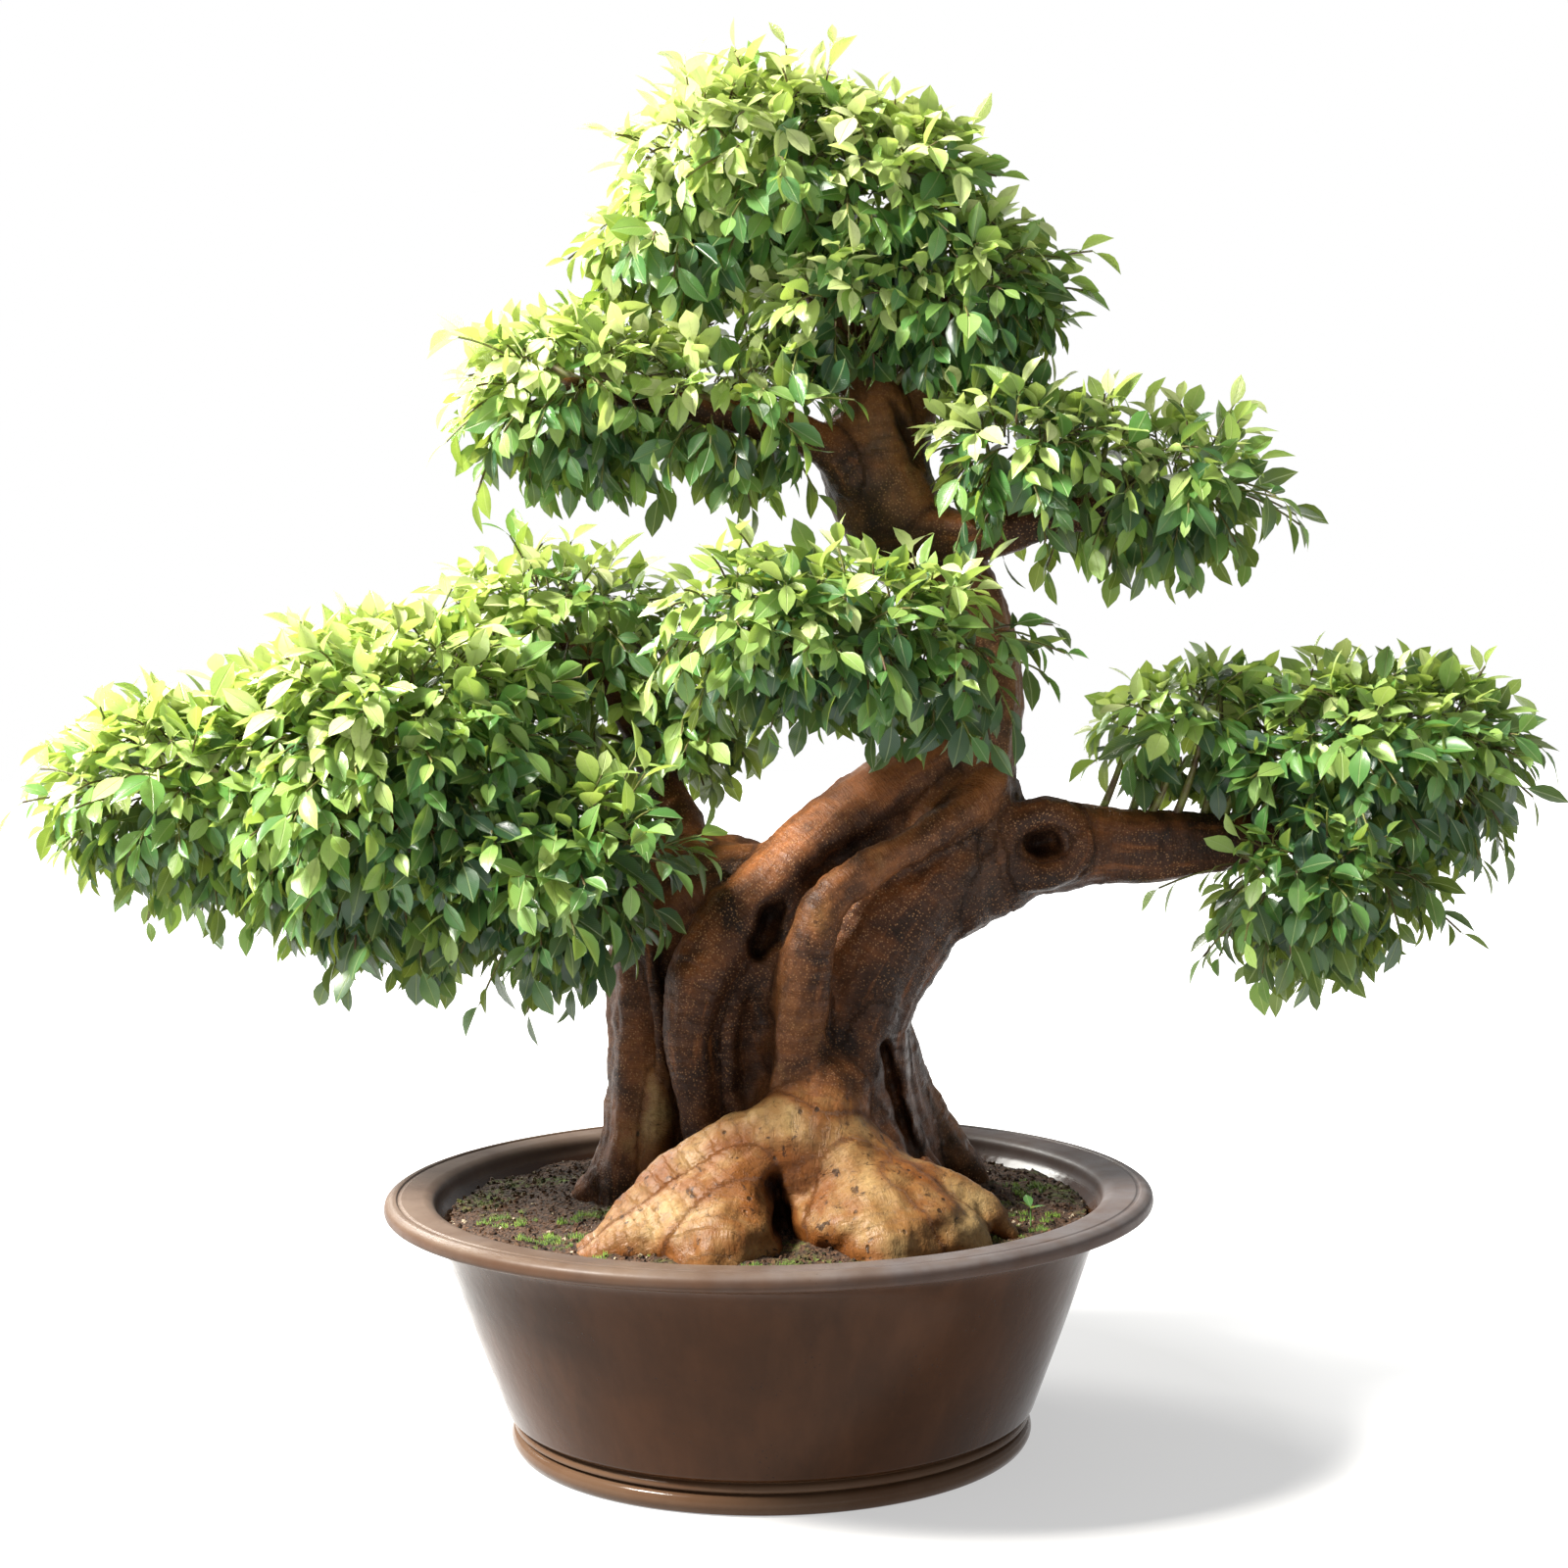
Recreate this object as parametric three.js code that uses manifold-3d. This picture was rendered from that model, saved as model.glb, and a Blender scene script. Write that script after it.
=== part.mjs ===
// Chinese banyan (Ficus microcarpa) bonsai in its round glazed pot.
// Millimetres, +Z up, the pot's flat base on z = 0 with its axis through the origin, front towards -Y.

import * as THREE from 'three';
import { mergeVertices } from 'three/addons/utils/BufferGeometryUtils.js';
import Module from 'manifold-3d';

const wasm = await Module();
wasm.setup();

// Driving dimensions of the pot
const RIM_RADIUS = 315;
const RIM_WIDTH = 37;
const POT_HEIGHT = 208;
const LIP_HEIGHT = 14;
const FOOT_RADIUS = 214;
const SHOULDER_RADIUS = 259;
const SHOULDER_HEIGHT = 172;
const WALL = 14;
const FLOOR = 22;
const ROUND_STEPS = 32;

// Drainage: three screened holes open into a shallow ring, which empties through notches at the back
const DRAIN_CIRCLE = 125;
const DRAIN_RADIUS = 16;
const DRAIN_COUNT = 3;
const DRAIN_RING_WIDTH = 50;
const DRAIN_RING_DEPTH = 6;
const DRAIN_SIDES = 12;
const NOTCH_WIDTH = 18;
const NOTCH_DEPTH = 5;
const NOTCH_ANGLES = [60, 120];
const SCREEN_RADIUS = 27;
const SCREEN_THICKNESS = 1.6;
const SCREEN_STUD = 5;

// Filling
const GRIT_TOP = 46;
const SOIL_EDGE = 190;
const SOIL_MOUND = 12;
const SOIL_RELIEF = 2.5;
const ROOT_CUT = 170;

// Foliage: sprigs of three leaves on a short stem, the leaves arching out over a core. How far along a
// leaf is widest, its edges' rise and its tip's dip are shares of its length.
const LEAF_LENGTH = 68;
const LEAF_WIDTH = 40;
const LEAF_THICKNESS = 1.4;
const LEAF_WIDEST = 0.46;
const LEAF_EDGE_RISE = 0.07;
const LEAF_TIP_DIP = 0.12;
const CORE_SHARE = 0.62;
const LEAVES_PER_SPRIG = 3;
const LEAF_DROOP = 0.25;
const STEM_SINK = 9;
const STEM_RISE = [7, 20];
const STEM_TIP = 3;
const STEM_RADIUS = 4;
const STEM_ROOM = 4;
const LEAF_TILT = [0.1, 0.7];
const SPRIG_SPACING = 36;
const SPRIG_TRIES = 6;
const SPRIG_ROOM = 0.6;

// Space left between neighbouring pieces
const GAP = 0.35;
const SEED = 4024;

const FINISH = {
  glaze: { color: 0x5a3d2c, roughness: 0.28, metalness: 0 },
  screen: { color: 0x2f3230, roughness: 0.6, metalness: 0 },
  grit: { color: 0x8a7f70, roughness: 0.95, metalness: 0 },
  soil: { color: 0x33261c, roughness: 0.97, metalness: 0 },
  bark: { color: 0x84563a, roughness: 0.55, metalness: 0 },
  leaf: { color: 0x5b8f2e, roughness: 0.42, metalness: 0 },
};

// Woody limbs of the one grown piece. A route's points are x, y, z and the limb's radius there.
// ridges gives the number of flutes round the section and their height as a share of the radius.
const LIMBS = [
  { part: 'trunk leaning to the right as it rises', sides: 10, steps: 7, ridges: [5, 0.03, 0.4],
    route: [[48, -18, 150, 56], [55, -20, 200, 61], [58, -20, 240, 64], [54, -18, 298, 60],
      [62, -15, 346, 60], [94, -10, 390, 65], [130, -5, 434, 63], [156, 0, 476, 57],
      [168, 5, 520, 46]] },
  { part: 'broad left face of the trunk', sides: 8, steps: 5, ridges: [3, 0.04, 0.2],
    route: [[8, -20, 160, 46], [4, -22, 230, 50], [-4, -22, 290, 50], [-10, -16, 346, 53],
      [-4, -8, 398, 54], [34, 0, 450, 50], [90, 2, 498, 42]] },
  { part: 'upper trunk in an S', sides: 8, steps: 11, ridges: [3, 0.06, 1.1],
    route: [[160, 5, 490, 50], [170, 8, 544, 40], [180, 12, 600, 37], [178, 18, 652, 36],
      [156, 20, 706, 37], [120, 15, 748, 42], [98, 10, 788, 43], [92, 5, 830, 35], [84, 5, 872, 23],
      [66, 5, 914, 17], [42, 0, 960, 13], [15, 0, 1030, 7]] },
  { part: 'left column', sides: 9, steps: 6, ridges: [4, 0.1, 0.2],
    route: [[-108, 5, 160, 37], [-108, 0, 222, 35], [-103, 2, 280, 30], [-102, 8, 336, 31],
      [-96, 18, 388, 35], [-70, 28, 428, 42], [-30, 30, 448, 46]] },
  { part: 'left branch', sides: 8, steps: 7, ridges: [3, 0.05, 0.9],
    route: [[16, 20, 426, 50], [-30, 30, 444, 45], [-74, 28, 458, 36], [-126, 20, 470, 30],
      [-194, 5, 484, 24], [-274, -10, 500, 18], [-360, -20, 514, 13], [-440, -25, 532, 7]] },
  { part: 'strand that rises into the arching limb', sides: 8, steps: 10, ridges: [3, 0.04, 0.3],
    route: [[-46, -44, 175, 20], [-48, -49, 236, 18], [-56, -56, 285, 17], [-62, -57, 335, 20],
      [-52, -48, 385, 28], [-30, -38, 416, 32], [-2, -34, 446, 30], [30, -27, 479, 28],
      [66, -18, 508, 28], [106, -7, 537, 28], [146, 2, 556, 30]] },
  { part: 'orange tube along the front', sides: 7, steps: 8, ridges: [2, 0.04, 0],
    route: [[12, -56, 262, 36], [18, -66, 330, 31], [26, -70, 384, 25], [36, -70, 422, 20],
      [54, -64, 454, 17], [88, -54, 474, 15], [130, -42, 496, 15], [158, -30, 514, 16],
      [176, -14, 534, 18]] },
  { part: 'back flank', sides: 7, steps: 3, ridges: [3, 0.05, 0.5],
    route: [[30, 42, 160, 48], [38, 44, 270, 42], [52, 42, 340, 38], [90, 35, 420, 30]] },
  { part: 'web between the column and the trunk', sides: 6, steps: 2, ridges: [3, 0.05, 0.2],
    route: [[-48, 8, 160, 36], [-50, 4, 270, 31], [-42, 12, 380, 34]] },
  { part: 'right branch', sides: 9, steps: 7, ridges: [3, 0.05, 0.6],
    route: [[158, 0, 466, 50], [210, 0, 482, 38], [242, -2, 486, 38], [274, -2, 486, 31],
      [316, 0, 484, 28], [368, 0, 485, 24], [420, -5, 494, 18], [476, -10, 502, 12],
      [530, -12, 510, 6]] },
  { part: 'right front root', sides: 6, steps: 5, ridges: [2, 0.05, 0],
    route: [[78, -40, 352, 28], [66, -53, 310, 25], [72, -60, 276, 21], [92, -68, 250, 18],
      [122, -74, 227, 15], [156, -80, 200, 12], [180, -84, 176, 7]] },
  { part: 'right middle root', sides: 6, steps: 4, ridges: [2, 0.04, 0],
    route: [[94, -10, 330, 22], [90, -6, 292, 16], [100, -8, 256, 14], [126, -14, 222, 14],
      [162, -24, 176, 9]] },
  { part: 'right back root', sides: 7, steps: 4, ridges: [3, 0.05, 0.7],
    route: [[88, 24, 350, 30], [102, 35, 306, 26], [118, 45, 270, 26], [138, 56, 236, 27],
      [160, 64, 206, 23], [182, 74, 176, 14]] },
  { part: 'neck of the pale hump', sides: 8, steps: 3, ridges: [3, 0.04, 0.2],
    route: [[46, -26, 322, 36], [38, -60, 286, 45], [26, -92, 254, 48], [18, -108, 205, 42]] },
  { part: 'saddle of the pale hump', sides: 8, steps: 4, ridges: [3, 0.04, 0.6],
    route: [[-60, -110, 206, 28], [-26, -108, 238, 39], [12, -102, 253, 44], [48, -100, 248, 44],
      [80, -102, 232, 37], [106, -108, 206, 25]] },
  { part: 'front left lobe', sides: 8, steps: 5, ridges: [3, 0.05, 0.5],
    route: [[4, -112, 242, 44], [-34, -144, 228, 44], [-66, -160, 212, 38], [-100, -164, 200, 27],
      [-128, -160, 190, 15], [-146, -156, 176, 8]] },
  { part: 'front left lobe towards the rim', sides: 8, steps: 3, ridges: [2, 0.05, 0.5],
    route: [[-8, -134, 228, 38], [-20, -176, 209, 41], [-24, -198, 192, 36], [-28, -206, 166, 25]] },
  { part: 'front right lobe', sides: 8, steps: 3, ridges: [3, 0.05, 0.1],
    route: [[52, -108, 244, 42], [70, -142, 228, 45], [84, -170, 210, 43], [92, -188, 190, 37],
      [92, -200, 162, 24]] },
  { part: 'right toe', sides: 7, steps: 4, ridges: [2, 0.05, 0],
    route: [[84, -116, 234, 32], [122, -112, 221, 25], [156, -102, 209, 17], [184, -95, 199, 11],
      [204, -92, 184, 6]] },
  { part: 'right front toe', sides: 7, steps: 3, ridges: [2, 0.05, 0.6],
    route: [[96, -146, 218, 33], [128, -160, 203, 25], [152, -164, 192, 16], [172, -166, 178, 8]] },
  { part: 'back root', sides: 7, steps: 3, ridges: [3, 0.05, 0.4],
    route: [[45, 40, 256, 42], [36, 92, 226, 34], [20, 138, 202, 25], [-4, 176, 184, 15],
      [-18, 192, 174, 8]] },
  { part: 'back right root', sides: 7, steps: 3, ridges: [3, 0.05, 0],
    route: [[80, 35, 252, 38], [110, 78, 224, 30], [136, 118, 201, 22], [156, 150, 184, 13],
      [166, 164, 174, 7]] },
  { part: 'back left root', sides: 7, steps: 3, ridges: [3, 0.05, 0.9],
    route: [[-62, 15, 240, 34], [-92, 58, 217, 28], [-122, 96, 199, 20], [-148, 124, 184, 12],
      [-160, 136, 174, 7]] },
  { part: 'left root', sides: 6, steps: 3, ridges: [2, 0.05, 0],
    route: [[-106, 4, 222, 32], [-132, 14, 203, 24], [-156, 28, 189, 14], [-170, 36, 176, 8]] },
  { part: 'branch to the upper left pad', sides: 6, steps: 5, ridges: [2, 0.05, 0],
    route: [[88, 0, 788, 28], [55, -12, 812, 19], [10, -24, 830, 15], [-50, -28, 843, 12],
      [-115, -25, 856, 9], [-180, -20, 868, 5]] },
  { part: 'branch to the upper right pad', sides: 7, steps: 5, ridges: [3, 0.05, 0.4],
    route: [[112, 8, 740, 32], [150, -12, 740, 24], [188, -28, 740, 19], [228, -34, 750, 15],
      [282, -28, 760, 11], [340, -15, 766, 6]] },
  { part: 'branch to the centre pad', sides: 6, steps: 5, ridges: [2, 0.05, 0],
    route: [[180, 8, 590, 28], [162, -30, 612, 17], [135, -68, 625, 13], [90, -92, 636, 11],
      [40, -106, 648, 8], [-15, -115, 660, 5]] },
  { part: 'branch to the left back pad', sides: 6, steps: 5, ridges: [2, 0.05, 0],
    route: [[-40, 38, 446, 30], [-66, 72, 486, 20], [-88, 98, 536, 16], [-116, 104, 590, 13],
      [-152, 102, 640, 10], [-200, 100, 684, 5]] },
];

// Decayed pockets in the wood: centre, half sizes and tilt about Y in degrees
const POCKETS = [
  { part: 'knot hole in the right branch', at: [226, -38, 488], half: [13, 16, 12], tilt: 15 },
  { part: 'hole below the arching limb', at: [8, -62, 424], half: [11, 30, 22], tilt: 20 },
  { part: 'slit in the upper trunk', at: [122, -28, 822], half: [9, 14, 30], tilt: -25 },
];

// Leafy pads. A lobe is x, y, z and its half sizes out to the leaf tips.
const PADS = [
  { name: 'foliage_crown',
    lobes: [[3, 4, 1043, 142, 126, 102], [158, 5, 940, 112, 114, 104], [-67, -13, 986, 108, 98, 78],
      [92, 0, 1012, 126, 116, 108]] },
  { name: 'foliage_upper_left',
    lobes: [[-146, -20, 860, 118, 110, 90], [-30, -36, 848, 112, 94, 82]] },
  { name: 'foliage_upper_right',
    lobes: [[222, -38, 788, 98, 90, 74], [324, -12, 765, 102, 94, 78]] },
  { name: 'foliage_centre',
    lobes: [[6, -115, 662, 112, 82, 80], [108, -100, 632, 116, 82, 90]] },
  { name: 'foliage_left_front',
    lobes: [[-449, -19, 544, 156, 118, 104], [-295, -41, 552, 168, 150, 162],
      [-163, -93, 480, 124, 90, 104]] },
  { name: 'foliage_left_back',
    lobes: [[-180, 112, 680, 138, 88, 88], [-92, 118, 592, 124, 80, 100]] },
  { name: 'foliage_right',
    lobes: [[362, 5, 572, 106, 94, 80], [502, -5, 548, 152, 118, 102], [458, -22, 460, 120, 102, 92]] },
];

// Seeded random numbers from 0 to 1
function randomSource(seed) {
  let state = seed;
  return () => {
    state = (state + 0x6d2b79f5) | 0;
    let mixed = Math.imul(state ^ (state >>> 15), 1 | state);
    mixed = (mixed + Math.imul(mixed ^ (mixed >>> 7), 61 | mixed)) ^ mixed;
    return ((mixed ^ (mixed >>> 14)) >>> 0) / 4294967296;
  };
}

// Six times the volume that the triangles enclose, positive when they face out
function signedVolume(places, corners) {
  const at = (corner) => new THREE.Vector3().fromArray(places, corner * 3);
  let total = 0;
  for (let i = 0; i < corners.length; i += 3) {
    total += at(corners[i]).dot(at(corners[i + 1]).cross(at(corners[i + 2])));
  }
  return total;
}

// A geometry of shared vertices, with nothing but their places
function welded(geometry) {
  const bare = geometry.clone();
  bare.deleteAttribute('normal');
  bare.deleteAttribute('uv');
  return mergeVertices(bare, 0.001);
}

// A closed three.js geometry as a solid that can be joined and cut
function toSolid(geometry) {
  const shared = welded(geometry);
  const places = shared.attributes.position.array;
  const corners = [];
  for (let i = 0; i < shared.index.count; i += 3) {
    const [a, b, c] = [0, 1, 2].map((step) => shared.index.getX(i + step));
    if (a !== b && b !== c && c !== a) corners.push(a, b, c);
  }
  if (signedVolume(places, corners) < 0) corners.reverse();
  return new wasm.Manifold(new wasm.Mesh({
    numProp: 3,
    vertProperties: Float32Array.from(places),
    triVerts: Uint32Array.from(corners),
  }));
}

// A solid's largest body as a three.js geometry
function toGeometry(solid) {
  const bodies = solid.decompose();
  bodies.sort((one, other) => other.volume() - one.volume());
  const mesh = bodies[0].getMesh();
  const geometry = new THREE.BufferGeometry();
  geometry.setAttribute('position', new THREE.BufferAttribute(mesh.vertProperties, 3));
  geometry.setIndex(new THREE.BufferAttribute(mesh.triVerts, 1));
  geometry.computeVertexNormals();
  return geometry;
}

function joined(solids) {
  return solids.reduce((whole, solid) => whole.add(solid));
}

// A closed profile of [radius, height] points turned about Z
function turned(profile, steps = ROUND_STEPS) {
  const points = profile.map(([radius, height]) => new THREE.Vector2(radius, height));
  return new THREE.LatheGeometry(points, steps).rotateX(Math.PI / 2);
}

// A cylinder along Z, centred on a point
function drum(radius, height, centre) {
  const drill = new THREE.CylinderGeometry(radius, radius, height, DRAIN_SIDES);
  return toSolid(drill.rotateX(Math.PI / 2).translate(...centre));
}

// Inner face of the pot, from the floor to the rim
const INNER_WALL = [[FOOT_RADIUS - WALL - 4, FLOOR], [SHOULDER_RADIUS - WALL, SHOULDER_HEIGHT],
  [RIM_RADIUS - RIM_WIDTH - 6, POT_HEIGHT - 8]];

// Radius of the inner wall at a height, by straight lines between its points
function innerRadius(height) {
  const above = Math.max(1, INNER_WALL.findIndex(([, level]) => level >= height));
  const [lowRadius, low] = INNER_WALL[above - 1];
  const [highRadius, high] = INNER_WALL[above];
  return THREE.MathUtils.mapLinear(height, low, high, lowRadius, highRadius);
}

// The pot: drain ring below, a foot of two rounded bands, a flaring wall and a broad flat rim
function makePot() {
  const lipBottom = POT_HEIGHT - LIP_HEIGHT;
  const ringInner = DRAIN_CIRCLE - DRAIN_RING_WIDTH / 2;
  const ringOuter = DRAIN_CIRCLE + DRAIN_RING_WIDTH / 2;
  const profile = [
    [0, 0], [ringInner, 0], [ringInner, DRAIN_RING_DEPTH], [ringOuter, DRAIN_RING_DEPTH], [ringOuter, 0],
    [FOOT_RADIUS - 8, 0], [FOOT_RADIUS, 7], [FOOT_RADIUS - 2, 17], [FOOT_RADIUS - 7, 19.5],
    [FOOT_RADIUS - 2, 24], [FOOT_RADIUS - 6, 29], [SHOULDER_RADIUS, SHOULDER_HEIGHT],
    [SHOULDER_RADIUS + 15, SHOULDER_HEIGHT + 17], [RIM_RADIUS - 4, lipBottom - 1],
    [RIM_RADIUS, lipBottom + 8], [RIM_RADIUS - 4, POT_HEIGHT], [RIM_RADIUS - RIM_WIDTH, POT_HEIGHT],
    ...INNER_WALL.toReversed(), [0, FLOOR],
  ];
  let pot = toSolid(turned(profile));
  for (let hole = 0; hole < DRAIN_COUNT; hole += 1) {
    pot = pot.subtract(drum(DRAIN_RADIUS, 3 * FLOOR, drainCentre(hole)));
  }
  const notchLength = FOOT_RADIUS - DRAIN_CIRCLE;
  for (const angle of NOTCH_ANGLES) {
    const notch = new THREE.BoxGeometry(notchLength, NOTCH_WIDTH, 2 * NOTCH_DEPTH);
    notch.translate(DRAIN_CIRCLE + notchLength / 2 + 10, 0, 0).rotateZ(THREE.MathUtils.degToRad(angle));
    pot = pot.subtract(toSolid(notch));
  }
  return pot;
}

// Centre of a drain hole, level with the pot's floor when lifted there
function drainCentre(hole, height = 0) {
  const angle = (hole / DRAIN_COUNT + 0.25) * 2 * Math.PI;
  return [DRAIN_CIRCLE * Math.cos(angle), DRAIN_CIRCLE * Math.sin(angle), height];
}

// Plastic mesh over a drain hole: a disc on the floor with a stud that drops into the hole
function makeScreen(hole) {
  const under = FLOOR + GAP;
  const stud = DRAIN_RADIUS - 4;
  const profile = [[0, under - SCREEN_STUD], [stud, under - SCREEN_STUD], [stud, under],
    [SCREEN_RADIUS, under], [SCREEN_RADIUS, under + SCREEN_THICKNESS], [0, under + SCREEN_THICKNESS]];
  return toSolid(turned(profile, DRAIN_SIDES).translate(...drainCentre(hole)));
}

// Coarse drainage grit, shaped round the screens
function makeGrit() {
  const bottom = FLOOR + GAP;
  const top = GRIT_TOP - GAP;
  const profile = [[0, bottom], [innerRadius(bottom) - GAP, bottom], [innerRadius(top) - GAP, top],
    [0, top]];
  let grit = toSolid(turned(profile));
  for (let hole = 0; hole < DRAIN_COUNT; hole += 1) {
    const roomHeight = 2 * (SCREEN_THICKNESS + 2 * GAP);
    grit = grit.subtract(drum(SCREEN_RADIUS + GAP, roomHeight, drainCentre(hole, FLOOR)));
  }
  return grit;
}

// Soil with a low mound under the trunk and an uneven top
function makeSoil() {
  const random = randomSource(SEED);
  const topRadius = innerRadius(SOIL_EDGE) - GAP;
  const profile = [[0, GRIT_TOP], [innerRadius(GRIT_TOP) - GAP, GRIT_TOP],
    [innerRadius(SHOULDER_HEIGHT) - GAP, SHOULDER_HEIGHT], [topRadius, SOIL_EDGE],
    [topRadius / 2, SOIL_EDGE + SOIL_MOUND / 2], [0, SOIL_EDGE + SOIL_MOUND]];
  const soil = welded(turned(profile));
  const places = soil.attributes.position;
  for (let i = 0; i < places.count; i += 1) {
    const height = places.getZ(i);
    const relief = SOIL_RELIEF * (2 * random() - 1);
    if (height > SOIL_EDGE + SOIL_RELIEF) places.setZ(i, height + relief);
  }
  return toSolid(soil);
}

// A limb as rings of vertices along a smooth curve, closed by a low dome at each end.
// grown widens it all round, which gives the room that other pieces leave it.
function limbGeometry({ route, sides, steps, ridges }, grown = 0) {
  const path = new THREE.CatmullRomCurve3(route.map(([x, y, z]) => new THREE.Vector3(x, y, z)));
  const frames = path.computeFrenetFrames(steps);
  const [flutes, depth, phase] = ridges;
  const radiusAt = (share) => {
    const along = path.getUtoTmapping(share) * (route.length - 1);
    const before = Math.min(Math.floor(along), route.length - 2);
    return THREE.MathUtils.lerp(route[before][3], route[before + 1][3], along - before) + grown;
  };
  const places = [];
  const corners = [];
  const dome = (share, step, side) => {
    const reach = side * (radiusAt(share) * 0.45 + grown);
    places.push(...path.getPointAt(share).addScaledVector(frames.tangents[step], reach).toArray());
  };
  for (let step = 0; step <= steps; step += 1) {
    const centre = path.getPointAt(step / steps);
    const radius = radiusAt(step / steps);
    for (let side = 0; side < sides; side += 1) {
      const angle = (side / sides) * 2 * Math.PI;
      const reach = radius * (1 + depth * Math.cos(flutes * angle + phase));
      const point = centre.clone()
        .addScaledVector(frames.normals[step], reach * Math.cos(angle))
        .addScaledVector(frames.binormals[step], reach * Math.sin(angle));
      places.push(...point.toArray());
    }
  }
  for (let step = 0; step < steps; step += 1) {
    for (let side = 0; side < sides; side += 1) {
      const here = step * sides + side;
      const next = step * sides + (side + 1) % sides;
      corners.push(here, next, here + sides, next, next + sides, here + sides);
    }
  }
  const start = places.length / 3;
  const last = steps * sides;
  dome(0, 0, -1);
  dome(1, steps, 1);
  for (let side = 0; side < sides; side += 1) {
    const next = (side + 1) % sides;
    corners.push(start, next, side, start + 1, last + side, last + next);
  }
  const geometry = new THREE.BufferGeometry();
  geometry.setAttribute('position', new THREE.Float32BufferAttribute(places, 3));
  geometry.setIndex(corners);
  return geometry;
}

// The limbs as one solid, cut flat underground as the roots of a potted tree are
function makeLimbs(grown = 0) {
  const whole = joined(LIMBS.map((limb) => toSolid(limbGeometry(limb, grown))));
  const below = new THREE.BoxGeometry(2 * RIM_RADIUS, 2 * RIM_RADIUS, ROOT_CUT - grown);
  return whole.subtract(toSolid(below.translate(0, 0, (ROOT_CUT - grown) / 2)));
}

// Trunk, roots and branches as one piece of wood, less its pockets
function makeWood() {
  let wood = makeLimbs();
  for (const { at, half, tilt } of POCKETS) {
    const pocket = new THREE.SphereGeometry(1, 8, 5).scale(...half);
    wood = wood.subtract(toSolid(pocket.rotateY(THREE.MathUtils.degToRad(tilt)).translate(...at)));
  }
  return wood;
}

// A sprig: a three-sided stem whose point is sunk in the core, and a leaf on each side of its tip.
// A leaf is folded along its midrib, with a keel below and its tip bent down. spread makes the sprig
// larger all round, for testing whether there is room for it.
function sprigGeometry({ point, outward, turn, tilt, rise, length, spread = 0, sink = STEM_SINK }) {
  const vertices = [];
  const corners = [];
  const add = (vertex) => vertices.push(vertex) - 1;
  const east = new THREE.Vector3(0.3, 0.2, 1).cross(outward).normalize();
  const sideways = (angle) => east.clone().applyAxisAngle(outward, angle);
  const third = 2 * Math.PI / LEAVES_PER_SPRIG;
  const hub = point.clone().addScaledVector(outward, rise);
  const root = add(point.clone().addScaledVector(outward, -sink));
  const apex = add(hub.clone().addScaledVector(outward, STEM_TIP + spread));
  const ring = Array.from({ length: LEAVES_PER_SPRIG }, (_, leaf) => (
    add(hub.clone().addScaledVector(sideways(turn + (leaf - 0.5) * third), STEM_RADIUS + spread))
  ));
  const tip = length + spread;
  const half = LEAF_WIDTH * length / LEAF_LENGTH / 2 + spread;
  for (let leaf = 0; leaf < LEAVES_PER_SPRIG; leaf += 1) {
    const along = sideways(turn + leaf * third).multiplyScalar(Math.cos(tilt));
    along.addScaledVector(outward, Math.sin(tilt));
    along.z -= LEAF_DROOP;
    along.normalize();
    const across = new THREE.Vector3().crossVectors(outward, along).normalize();
    const up = new THREE.Vector3().crossVectors(along, across);
    const blade = (out, side, lift) => add(hub.clone()
      .addScaledVector(along, out).addScaledVector(across, side).addScaledVector(up, lift));
    const start = ring[leaf];
    const end = ring[(leaf + 1) % LEAVES_PER_SPRIG];
    const widest = LEAF_WIDEST * tip;
    const rim = [start, blade(widest, -half, LEAF_EDGE_RISE * tip), blade(tip, 0, -LEAF_TIP_DIP * tip),
      blade(widest, half, LEAF_EDGE_RISE * tip), end];
    const keel = blade(widest, 0, -LEAF_TIP_DIP * widest - LEAF_THICKNESS - spread);
    for (let i = 1; i < rim.length; i += 1) {
      corners.push(apex, rim[i - 1], rim[i], keel, rim[i], rim[i - 1]);
    }
    corners.push(keel, start, end, root, end, start);
  }
  const geometry = new THREE.BufferGeometry().setFromPoints(vertices);
  geometry.setIndex(corners);
  return geometry;
}

// Rounded mass in the middle of a pad, smaller than the pad by the leaves' reach
function makeCore({ lobes }, grown = 0) {
  return joined(lobes.map(([x, y, z, ...half]) => {
    const size = half.map((reach) => CORE_SHARE * reach + grown);
    return toSolid(new THREE.IcosahedronGeometry(1, 1).scale(...size).translate(x, y, z));
  }));
}

// The cores of the pads, clear of the wood and of the cores before them
function makeCores(woodRoom) {
  return PADS.map((pad, index) => {
    const rooms = [woodRoom, ...PADS.slice(0, index).map((other) => makeCore(other, GAP))];
    return rooms.reduce((core, room) => core.subtract(room), makeCore(pad));
  });
}

// The triangles of a solid that are wide enough to hold a stem: the middle and the way out of each
function* stemFaces(solid) {
  const { vertProperties, triVerts } = solid.getMesh();
  const corner = (index) => new THREE.Vector3().fromArray(vertProperties, 3 * triVerts[index]);
  for (let i = 0; i < triVerts.length; i += 3) {
    const face = new THREE.Triangle(corner(i), corner(i + 1), corner(i + 2));
    const sides = [face.b.distanceTo(face.c), face.c.distanceTo(face.a), face.a.distanceTo(face.b)];
    const around = sides[0] + sides[1] + sides[2];
    if (2 * face.getArea() / around > STEM_ROOM) {
      const point = face.a.clone().multiplyScalar(sides[0] / around)
        .addScaledVector(face.b, sides[1] / around).addScaledVector(face.c, sides[2] / around);
      yield { point, outward: face.getNormal(new THREE.Vector3()) };
    }
  }
}

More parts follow.
